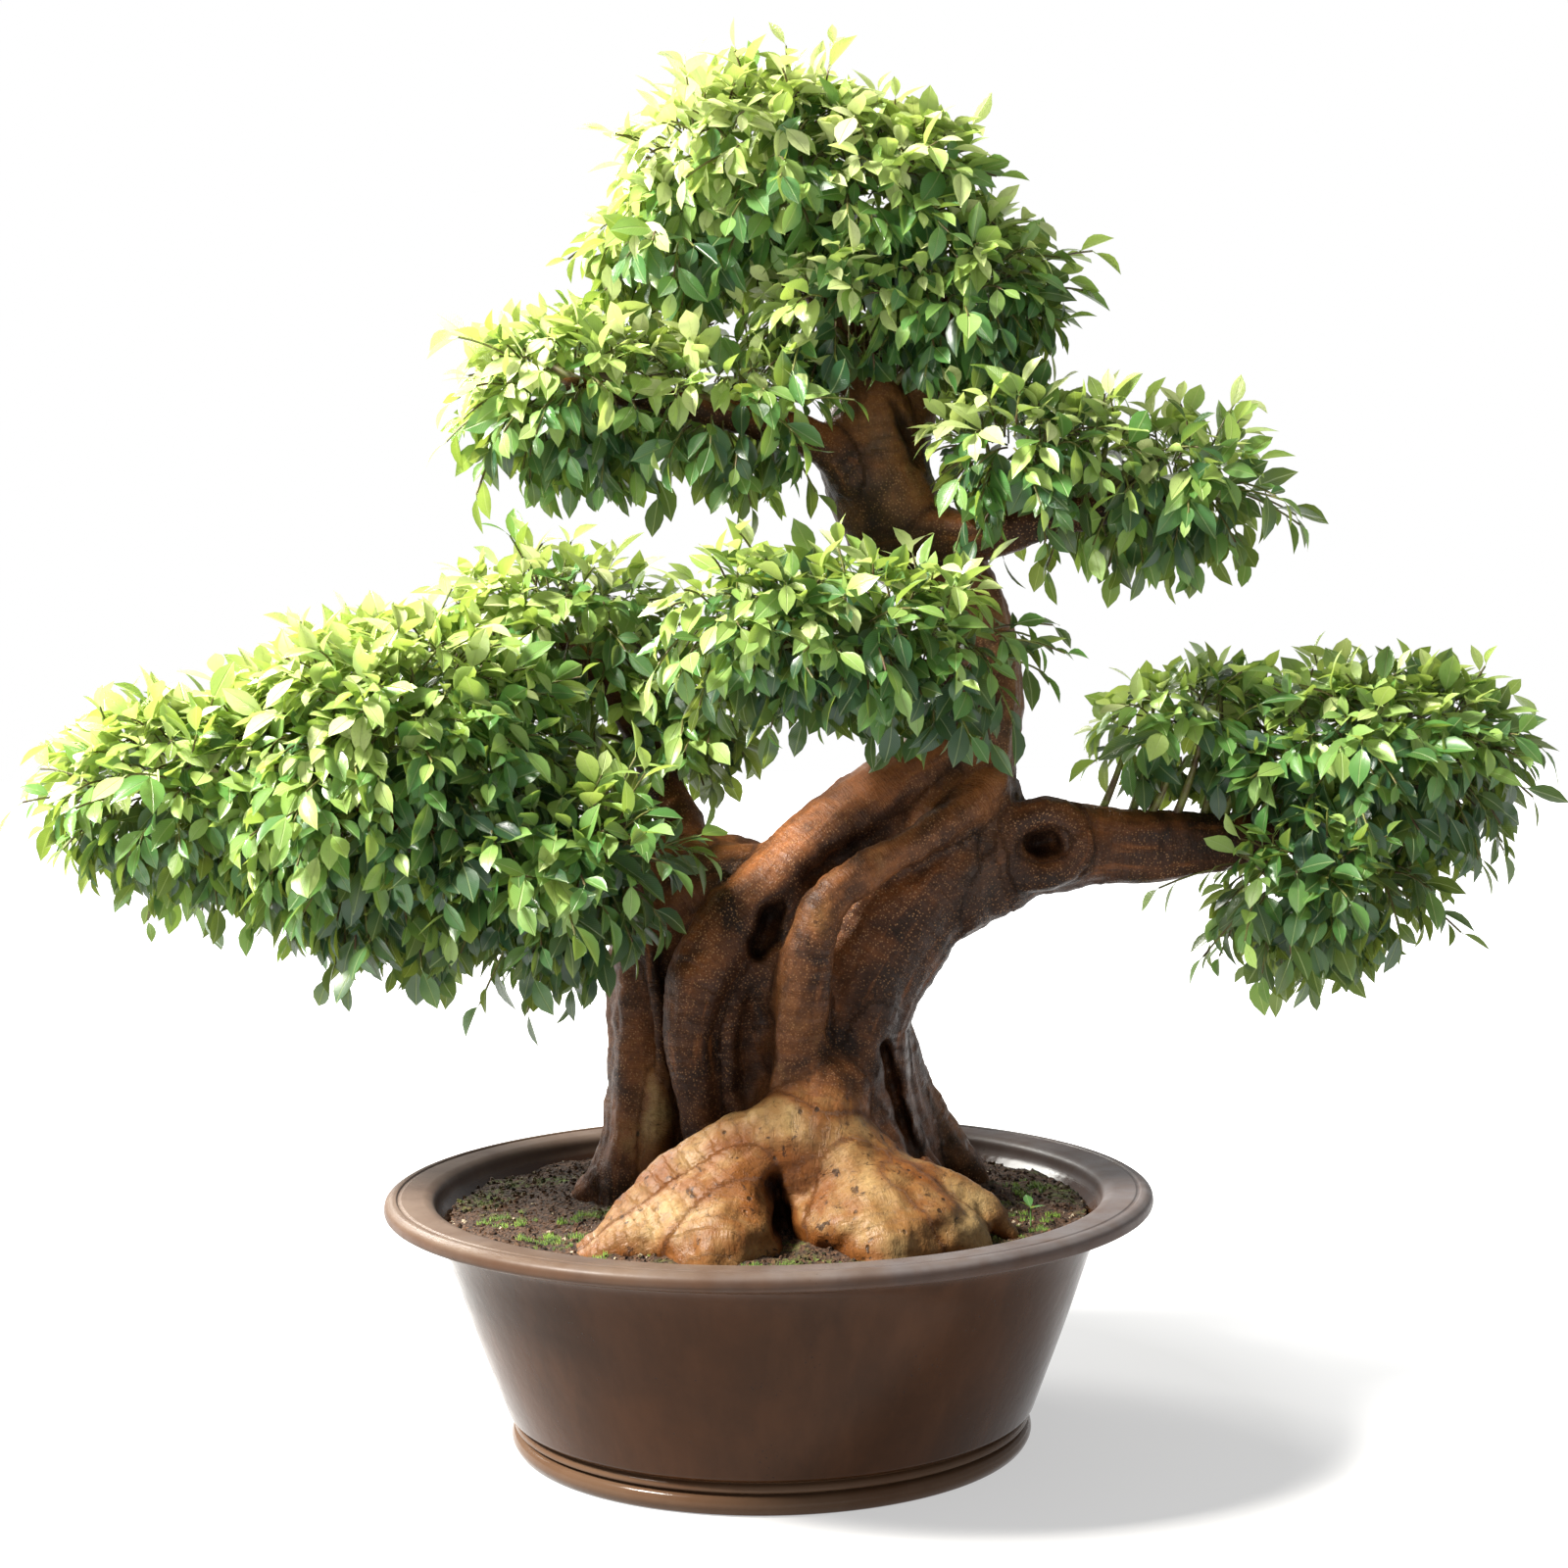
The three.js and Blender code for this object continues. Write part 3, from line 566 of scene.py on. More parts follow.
@dataclass(frozen=True)
class BarkFinish:
    """Smooth, damp ficus bark: reddish brown, orange where light falls, tan and pitted on the roots.

    The mesh carries four values for it: bark, the place along and around each limb, and pale, crease
    and green, from zero to one.

    Attributes:
        base: The bark's brown.
        dark: Its dark blotches and fibres.
        warm: What lies open to the light.
        pale: The tan roots.
        cream: Their lighter clouds.
        edge: The brown of their edges and undersides, also painted as shade in their creases.
        orange: The orange limbs.
        green: The algae.
        fleck: The pale specks.
        wrinkle: The wrinkles across a limb.
        scab: The scabs on the roots.
        pit: The pits in the roots.
        crease_shade: The shade painted in the creases where limbs meet and inside the hollows.
        grain: The fine dark grain.
    """

    base: int = 0x422717
    dark: int = 0x21130B
    warm: int = 0x84502A
    pale: int = 0x72502C
    cream: int = 0x8F764E
    edge: int = 0x633714
    orange: int = 0x80502C
    green: int = 0x6E6A45
    fleck: int = 0x9A7350
    wrinkle: int = 0x180D08
    scab: int = 0x251810
    pit: int = 0x2B1D12
    crease_shade: int = 0x0D0705
    grain: int = 0x150C08

    def material(self) -> Paint:
        """Builds the bark.

        Returns:
            The finished material.
        """
        sheet = Material("bark")
        along = sheet.attribute("bark", "Vector")
        fibre = sheet.noise(1.0, 5.0, sheet.stretched(along, (14.0, 95.0, 95.0)), roughness=0.6)
        wrinkle = sheet.noise(1.0, 4.0, sheet.stretched(along, (330.0, 60.0, 60.0)), 0.6, 1.6)
        blotch = sheet.noise(16.0, 5.0, roughness=0.6, distortion=0.4)
        grain = sheet.noise(260.0, 4.0, roughness=0.7)
        _, _, up = sheet.axes(sheet.node("ShaderNodeNewGeometry").outputs["Normal"])
        colour = sheet.mix(sheet.span(blotch, 0.36, 0.62), self.base, self.dark)
        lit = sheet.times(sheet.span(up, -0.1, 0.75), sheet.span(blotch, 0.62, 0.4))
        colour = sheet.mix(sheet.times(lit, 0.85), colour, self.warm)
        colour = sheet.mix(sheet.span(fibre, 0.52, 0.74, 0.0, 0.55), colour, self.dark)
        colour = sheet.mix(sheet.span(fibre, 0.42, 0.28, 0.0, 0.5), colour, self.warm)
        colour = sheet.mix(sheet.span(wrinkle, 0.56, 0.74, 0.0, 0.3), colour, self.wrinkle)
        specks = sheet.times(sheet.span(sheet.cells(430.0), 0.14, 0.36, 0.8, 0.0),
                             sheet.span(sheet.noise(13.0, 4.0), 0.34, 0.6, 0.12, 1.0))
        colour = sheet.mix(specks, colour, self.fleck)
        roots = sheet.attribute("pale")
        edge = sheet.plus(roots, sheet.span(sheet.noise(26.0, 5.0), 0.3, 0.7, -0.3, 0.3))
        tan = sheet.mix(sheet.span(sheet.noise(21.0, 5.0), 0.38, 0.62), self.pale, self.cream)
        tan = sheet.mix(sheet.span(sheet.noise(17.0, 5.0), 0.43, 0.6, 0.0, 0.85), tan, self.edge)
        tan = sheet.mix(sheet.span(up, 0.25, -0.35, 0.0, 0.8), tan, self.edge)
        scabs = sheet.span(sheet.noise(105.0, 4.0, roughness=0.7, distortion=0.7), 0.59, 0.64)
        tan = sheet.mix(sheet.times(scabs, sheet.span(blotch, 0.42, 0.56, 0.1, 0.85)), tan, self.scab)
        # Painted shade in the creases where limbs meet and inside the hollows: brown on the tan roots,
        # near-black on the rest.
        crease_shade = sheet.attribute("crease_shade")
        tan = sheet.mix(sheet.span(crease_shade, 0.02, 0.3, 0.0, 0.85), tan, self.edge)
        glow = sheet.times(sheet.span(edge, 0.14, 0.5, 0.0, 0.8), sheet.span(blotch, 0.66, 0.42, 0.3, 1.0))
        glow = sheet.times(glow, sheet.span(fibre, 0.3, 0.62, 1.0, 0.55))
        colour = sheet.mix(glow, colour, self.orange)
        colour = sheet.mix(sheet.span(edge, 0.45, 0.8), colour, tan)
        pits = sheet.cells(1.0, sheet.stretched(sheet.place, (92.0, 92.0, 64.0)))
        pits = sheet.span(pits, 0.13, 0.2, 1.0, 0.0)
        pits = sheet.times(pits, sheet.span(sheet.noise(34.0, 3.0), 0.5, 0.56))
        pits = sheet.times(pits, sheet.span(roots, 0.25, 0.6))
        colour = sheet.mix(sheet.times(pits, 0.85), colour, self.pit)
        moss = sheet.times(sheet.attribute("green"), sheet.span(blotch, 0.7, 0.35))
        colour = sheet.mix(moss, colour, self.green)
        # The painted shade of the creases and hollows, broken up by noise, in near-black.
        crease_shade = sheet.times(crease_shade, sheet.span(sheet.noise(40.0, 3.0), 0.3, 0.6, 0.6, 1.0))
        colour = sheet.mix(sheet.times(crease_shade, 0.9), colour, self.crease_shade)
        colour = sheet.mix(sheet.span(grain, 0.48, 0.76, 0.0, 0.45), colour, self.grain)
        height = sheet.maths("MULTIPLY_ADD", wrinkle, 1.4, sheet.times(fibre, 1.3))
        height = sheet.maths("SUBTRACT", height, sheet.times(pits, 1.2))
        height = sheet.plus(height, sheet.times(specks, 0.35))
        normal = sheet.bump(height, 0.0016, 0.6)
        normal = sheet.bump(grain, 0.0009, 0.6, normal)
        rough = sheet.span(sheet.noise(70.0, 4.0), 0.3, 0.7, 0.34, 0.56)
        return sheet.finish(colour, rough, normal, 0.16)


@dataclass(frozen=True)
class TwigFinish:
    """Thin twigs, brown and green in turns, with dark flecks."""

    bark: int = 0x4B3421
    green: int = 0x6F7B32
    fleck: int = 0x2A1B11

    def material(self) -> Paint:
        """Builds the twigs' bark.

        Returns:
            The finished material.
        """
        sheet = Material("twig")
        share = sheet.span(sheet.noise(60.0, 3.0), 0.35, 0.7)
        colour = sheet.mix(share, self.bark, self.green)
        colour = sheet.mix(sheet.span(sheet.noise(900.0, 2.0), 0.5, 0.7, 0.0, 0.6), colour, self.fleck)
        return sheet.finish(colour, 0.55, sheet.bump(sheet.noise(700.0, 3.0), 0.0006))


@dataclass(frozen=True)
class LeafFinish:
    """Glossy ficus leaves, with light and shade painted into their green: lighter towards -X, higher up and
    on the side of each pad that faces the light, deep green away from it and on the inner layer.

    The mesh carries young, from zero on an old leaf to one on a new one, sunny, from minus one on the
    pad's shaded side to one on its sunny side, chance, a random number for each leaf, and a UV map with
    the midrib along its middle. On the inner layer young, sunny and chance are kept low, which paints its
    leaves darker as shade.

    Attributes:
        deep: The shaded leaves.
        mid: The leaves between.
        bright: The leaves in the light.
        sunlit_and_new: The new leaves, and the painted highlight on the leaves that are lit most.
        vein: The midrib and the side veins.
        through: The light that comes through a leaf.
    """

    deep: int = 0x18402A
    mid: int = 0x4A7C3B
    bright: int = 0x9AB45E
    sunlit_and_new: int = 0xCFD89C
    vein: int = 0xBCC98C
    through: int = 0xCBDD4E

    def material(self) -> Paint:
        """Builds the leaves' green.

        Returns:
            The finished material.
        """
        sheet = Material("leaf")
        x, _, z = sheet.axes(sheet.place)
        chance = sheet.attribute("chance")
        # Painted light and shade: lighter towards -X and higher up, and on the pad's side that faces the sun.
        light = sheet.span(x, 0.5, -0.45, -0.1, 0.17)
        light = sheet.plus(light, sheet.span(z, 0.38, 1.05, -0.15, 0.33))
        light = sheet.plus(light, sheet.span(sheet.attribute("sunny"), -0.5, 0.8, -0.42, 0.32))
        light = sheet.maths("MULTIPLY_ADD", sheet.attribute("young"), 0.38, light)
        light = sheet.maths("MULTIPLY_ADD", chance, 0.42, light)
        light = sheet.plus(light, sheet.span(sheet.noise(9.0, 2.0), 0.3, 0.7, -0.12, 0.12))
        colour = sheet.mix(sheet.span(light, 0.0, 0.34), self.deep, self.mid)
        colour = sheet.mix(sheet.span(light, 0.32, 0.68), colour, self.bright)
        colour = sheet.mix(sheet.span(light, 0.68, 1.02), colour, self.sunlit_and_new)
        across, lengthways, _ = sheet.axes(sheet.node("ShaderNodeUVMap", uv_map="UVMap"))
        off = sheet.maths("ABSOLUTE", sheet.maths("SUBTRACT", across, 0.5))
        rib = sheet.span(off, 0.012, 0.04, 1.0, 0.0)
        slant = sheet.maths("MULTIPLY_ADD", off, -0.62, lengthways)
        veins = sheet.span(sheet.maths("SINE", sheet.times(slant, 95.0)), 0.72, 1.0)
        colour = sheet.mix(sheet.times(rib, 0.3), colour, self.vein)
        colour = sheet.mix(sheet.times(veins, 0.07), colour, self.vein)
        mottle = sheet.noise(420.0, 3.0)
        colour = sheet.mix(sheet.span(mottle, 0.55, 0.8, 0.0, 0.3), colour, self.deep)
        height = sheet.maths("MULTIPLY_ADD", rib, -1.4, sheet.times(veins, -0.5))
        height = sheet.plus(height, sheet.times(mottle, 0.5))
        rough = sheet.span(chance, 0.0, 1.0, 0.24, 0.38)
        glow = sheet.mix(0.5, colour, self.through)
        return sheet.finish(colour, rough, sheet.bump(height, 0.0005, 0.7), 0.65, glow=glow, share=0.3)


@dataclass(frozen=True)
class SoilFinish:
    """Dark potting soil of bark, peat and a few pale grains."""

    dark: int = 0x170F09
    brown: int = 0x553A25
    speck: int = 0xA89B84
    green: int = 0x5B6F2A

    def material(self) -> Paint:
        """Builds the soil, of which each grain has a colour of its own.

        Returns:
            The finished material.
        """
        sheet = Material("soil")
        pick = sheet.node("ShaderNodeSeparateColor", {0: sheet.cells(310.0, output="Color")})
        chance = sheet.attribute("chance")
        tone = sheet.maths("MULTIPLY_ADD", pick.outputs[0], 0.55, sheet.times(chance, 0.6))
        colour = sheet.mix(sheet.span(tone, 0.15, 0.85), self.dark, self.brown)
        colour = sheet.mix(sheet.span(tone, 0.91, 0.96, 0.0, 0.85), colour, self.speck)
        algae = sheet.times(sheet.span(sheet.noise(15.0, 4.0), 0.54, 0.68),
                            sheet.span(pick.outputs[1], 0.3, 0.8))
        colour = sheet.mix(sheet.times(algae, 0.75), colour, self.green)
        height = sheet.plus(sheet.cells(310.0), sheet.noise(500.0, 3.0))
        return sheet.finish(colour, 0.88, sheet.bump(height, 0.002, 0.9), 0.35)


@dataclass(frozen=True)
class MossFinish:
    """Bright cushions of moss."""

    low: int = 0x26370F
    high: int = 0x6D8C26

    def material(self) -> Paint:
        """Builds the moss.

        Returns:
            The finished material.
        """
        sheet = Material("moss")
        share = sheet.maths("MULTIPLY_ADD", sheet.attribute("chance"), 0.6, sheet.noise(90.0, 3.0))
        colour = sheet.mix(sheet.span(share, 0.4, 1.0), self.low, self.high)
        return sheet.finish(colour, 0.7, sheet.bump(sheet.noise(900.0, 2.0), 0.0006), glow=colour, share=0.2)


@dataclass(frozen=True)
class GritFinish:
    """Grey and buff drainage grit, with shade painted in the gaps between its grains."""

    grey: int = 0x6E665C
    buff: int = 0xB3A58C
    gap: int = 0x241C16

    def material(self) -> Paint:
        """Builds the grit.

        Returns:
            The finished material.
        """
        sheet = Material("grit")
        pick = sheet.node("ShaderNodeSeparateColor", {0: sheet.cells(150.0, output="Color")})
        colour = sheet.mix(pick.outputs[0], self.grey, self.buff)
        # Painted shade in the gaps between the grains.
        edge = sheet.cells(150.0, feature="DISTANCE_TO_EDGE")
        colour = sheet.mix(sheet.span(edge, 0.02, 0.1, 0.9, 0.0), colour, self.gap)
        relief = sheet.bump(sheet.span(edge, 0.0, 0.3), 0.003)
        return sheet.finish(colour, 0.9, relief)


@dataclass(frozen=True)
class ScreenFinish:
    """Dark plastic mesh over the drain holes.

    Attributes:
        pitch: The width of a mesh.
        hole: The near-black painted between the threads, as the shade in the openings.
        thread: The threads' colour.
    """

    pitch: float = 0.0022
    hole: int = 0x0E100F
    thread: int = 0x3A403D

    def material(self) -> Paint:
        """Builds the mesh's squares.

        Returns:
            The finished material.
        """
        sheet = Material("screen")
        axes = sheet.axes(sheet.place)
        waves = [sheet.maths("SINE", sheet.times(axes[n], 2 * math.pi / self.pitch)) for n in (0, 1)]
        threads = sheet.span(sheet.maths("MAXIMUM", *waves), 0.1, 0.55)
        # Painted shade in the openings between the threads.
        colour = sheet.mix(threads, self.hole, self.thread)
        return sheet.finish(colour, 0.6, sheet.bump(threads, 0.0008))


@dataclass(frozen=True)
class FloorFinish:
    """The plain pale floor, lit from within so that it runs into the background.

    Attributes:
        near: Its own light beside the pot, where the shadow lies.
        far: Its own light further off.
        near_reach: How far the first reaches from the pot's axis.
        far_reach: Where the second begins.
    """

    near: float = 0.5
    far: float = 1.5
    near_reach: float = 0.42
    far_reach: float = 1.25

    def material(self) -> Paint:
        """Builds the floor's paint.

        Returns:
            The finished material.
        """
        sheet = Material("floor")
        away = sheet.node("ShaderNodeVectorMath", {0: sheet.place}, operation="LENGTH").outputs["Value"]
        own_light = sheet.span(away, self.near_reach, self.far_reach, self.near, self.far)
        colour = sheet.mix(sheet.noise(1.5, 2.0), (0.3, 0.3, 0.302, 1.0), (0.32, 0.32, 0.32, 1.0))
        return sheet.finish(colour, 0.85, specular=0.1, Emission_Color=(1.0, 1.0, 1.0, 1.0),
                            Emission_Strength=own_light)


class Tone(Enum):
    """How much a limb's bark differs from the trunk's: its pale and green shares."""

    TRUNK = (0.0, 0.0)
    ORANGE = (0.36, 0.0)
    OCHRE = (0.42, 0.0)
    PALE = (1.0, 0.0)
    CREAM = (1.0, 0.3)
    DUSTY = (0.3, 0.12)

    @property
    def pale(self) -> float:
        """The share of tan root bark."""
        return self.value[0]

    @property
    def green(self) -> float:
        """The share of algae."""
        return self.value[1]


@dataclass(frozen=True)
class Limb:
    """A woody limb: a smooth route through points of x, y, z and radius, in millimetres.

    Attributes:
        part: What it is.
        route: The points.
        ridges: The number of flutes round it, their height as a share of the radius, and their phase.
        tone: Its colour.
        steps: The number of samples between two points.
    """

    part: str
    route: Route
    ridges: tuple[int, float, float] = (3, 0.04, 0.3)
    tone: Tone = Tone.TRUNK
    steps: int = 4

    def samples(self) -> np.ndarray:
        """Points and radii in metres along a smooth curve through the route.

        Returns:
            A row of x, y, z and radius for each sample.
        """
        points = np.array(self.route, float) * MM
        ends = np.vstack([2 * points[0] - points[1], points, 2 * points[-1] - points[-2]])
        share = np.linspace(0, 1, self.steps, endpoint=False)[:, None]
        rows = []
        for a, b, c, d in zip(ends[:-3], ends[1:-2], ends[2:-1], ends[3:]):
            curve = 2 * b + (c - a) * share + (2 * a - 5 * b + 4 * c - d) * share ** 2
            curve = (curve + (3 * b - 3 * c + d - a) * share ** 3) / 2
            curve[:, 3] = b[3] + (c[3] - b[3]) * share[:, 0]
            rows.append(curve)
        return np.vstack([*rows, points[-1:]])

    def bones(self) -> Iterator["Bone"]:
        """The straight stretches between the samples, each with a frame that doesn't twist.

        Yields:
            Each stretch, from the first to the last.
        """
        samples = self.samples()
        across = np.array([0.31, 0.83, 0.47])
        length = 0.0
        for start, end in zip(samples[:-1], samples[1:]):
            run = end[:3] - start[:3]
            size = float(np.linalg.norm(run))
            ahead = run / size
            across = across - ahead * (across @ ahead)
            across = across / np.linalg.norm(across)
            yield Bone(start, end, ahead, across, np.cross(ahead, across), size, length)
            length += size


@dataclass(frozen=True)
class Bone:
    """A straight, tapered stretch of a limb.

    Attributes:
        start: The first end's x, y, z and radius, in metres.
        end: The other end's.
        ahead: The direction from one to the other.
        across: A direction square to it, which doesn't twist along the limb.
        beside: The third direction.
        size: Its length.
        before: The limb's length before it.
    """

    start: np.ndarray
    end: np.ndarray
    ahead: np.ndarray
    across: np.ndarray
    beside: np.ndarray
    size: float
    before: float

    def box(self, margin: float) -> tuple[np.ndarray, np.ndarray]:
        """Its lowest and highest corners, with some room round its skin.

        Args:
            margin: The room.

        Returns:
            The two corners, in metres.
        """
        reach = max(self.start[3], self.end[3]) * 1.15 + margin
        pair = np.vstack([self.start[:3], self.end[:3]])
        return pair.min(0) - reach, pair.max(0) + reach

    def measure(self, x: Any, y: Any, z: Any, ridges: tuple[int, float, float]) -> tuple[Any, ...]:
        """Measures points against the stretch.

        Args:
            x: The points' first coordinates, and y and z the others.
            y: See x.
            z: See x.
            ridges: The flutes round the limb.

        Returns:
            The distance to its skin, the place along the limb, and the two offsets from its middle.
        """
        dx, dy, dz = x - self.start[0], y - self.start[1], z - self.start[2]
        along = dx * self.ahead[0] + dy * self.ahead[1] + dz * self.ahead[2]
        share = np.clip(along / self.size, 0.0, 1.0)
        kept = share * self.size
        dx, dy, dz = dx - kept * self.ahead[0], dy - kept * self.ahead[1], dz - kept * self.ahead[2]
        u = dx * self.across[0] + dy * self.across[1] + dz * self.across[2]
        v = dx * self.beside[0] + dy * self.beside[1] + dz * self.beside[2]
        radius = self.start[3] + (self.end[3] - self.start[3]) * share
        flutes, depth, phase = ridges
        radius = radius * (1 + depth * np.cos(flutes * np.arctan2(v, u) + phase))
        return np.sqrt(dx * dx + dy * dy + dz * dz) - radius, self.before + kept, u, v


@dataclass(frozen=True)
class Lump:
    """A burl or a decayed hollow, in millimetres.

    Attributes:
        part: What it is.
        at: Its centre.
        half: Its half sizes.
        tilt: Its turn about Y in degrees.
        tone: A burl's colour.
        shade: How strongly shade is painted on the bark inside a hollow, from zero to one.
    """

    part: str
    at: Point
    half: Point
    tilt: float
    tone: Tone = Tone.PALE
    shade: float = 1.0

    def box(self, margin: float) -> tuple[np.ndarray, np.ndarray]:
        """The lowest and highest corners of a cube round it, in metres.

        Args:
            margin: Some room round it.

        Returns:
            The two corners.
        """
        reach = max(self.half) * MM + margin
        centre = np.array(self.at) * MM
        return centre - reach, centre + reach

    def offsets(self, x: Any, y: Any, z: Any) -> tuple[Any, Any, Any]:
        """Where points lie along its own three axes.

        Args:
            x: The points' first coordinates, and y and z the others.
            y: See x.
            z: See x.

        Returns:
            The three offsets, in metres.
        """
        turn = math.radians(self.tilt)
        dx, dy, dz = x - self.at[0] * MM, y - self.at[1] * MM, z - self.at[2] * MM
        return (dx * math.cos(turn) - dz * math.sin(turn), dy, dx * math.sin(turn) + dz * math.cos(turn))

    def wobble(self, x: Any, y: Any, z: Any) -> Any:
        """How far its outline wanders from an oval, in metres."""
        return 0.0013 * (np.sin(230 * x + 140 * z) + np.sin(190 * z - 110 * x + 60 * y))

    def depth(self, x: Any, y: Any, z: Any) -> Any:
        """Roughly how far points lie outside its surface, in metres.

        Args:
            x: The points' first coordinates, and y and z the others.
            y: See x.
            z: See x.

        Returns:
            The distances, below zero inside.
        """
        shares = [offset / (size * MM) for offset, size in zip(self.offsets(x, y, z), self.half)]
        out = np.sqrt(sum(share ** 2 for share in shares)) + 1e-6
        slope = np.sqrt(sum((share / (size * MM)) ** 2 for share, size in zip(shares, self.half))) + 1e-6
        return out * (out - 1) / slope + self.wobble(x, y, z)


def ring_route(centre: Sequence[float], half: Sequence[float], radius: float, tilt: float,
               count: int = 12) -> Route:
    """A closed oval route that faces the front, for the swollen rim of a knot.

    Args:
        centre: The middle, in millimetres.
        half: Half the width and half the height.
        radius: How thick the swelling is.
        tilt: How far the oval is turned, in degrees.
        count: The number of points.

    Returns:
        The route's points.
    """
    turn = math.radians(tilt)
    points = []
    for step in range(count + 1):
        angle = 2 * math.pi * step / count
        u, w = half[0] * math.cos(angle), half[1] * math.sin(angle)
        points.append((centre[0] + u * math.cos(turn) - w * math.sin(turn), centre[1] + abs(u) * 0.12,
                       centre[2] + u * math.sin(turn) + w * math.cos(turn), radius))
    return tuple(points)


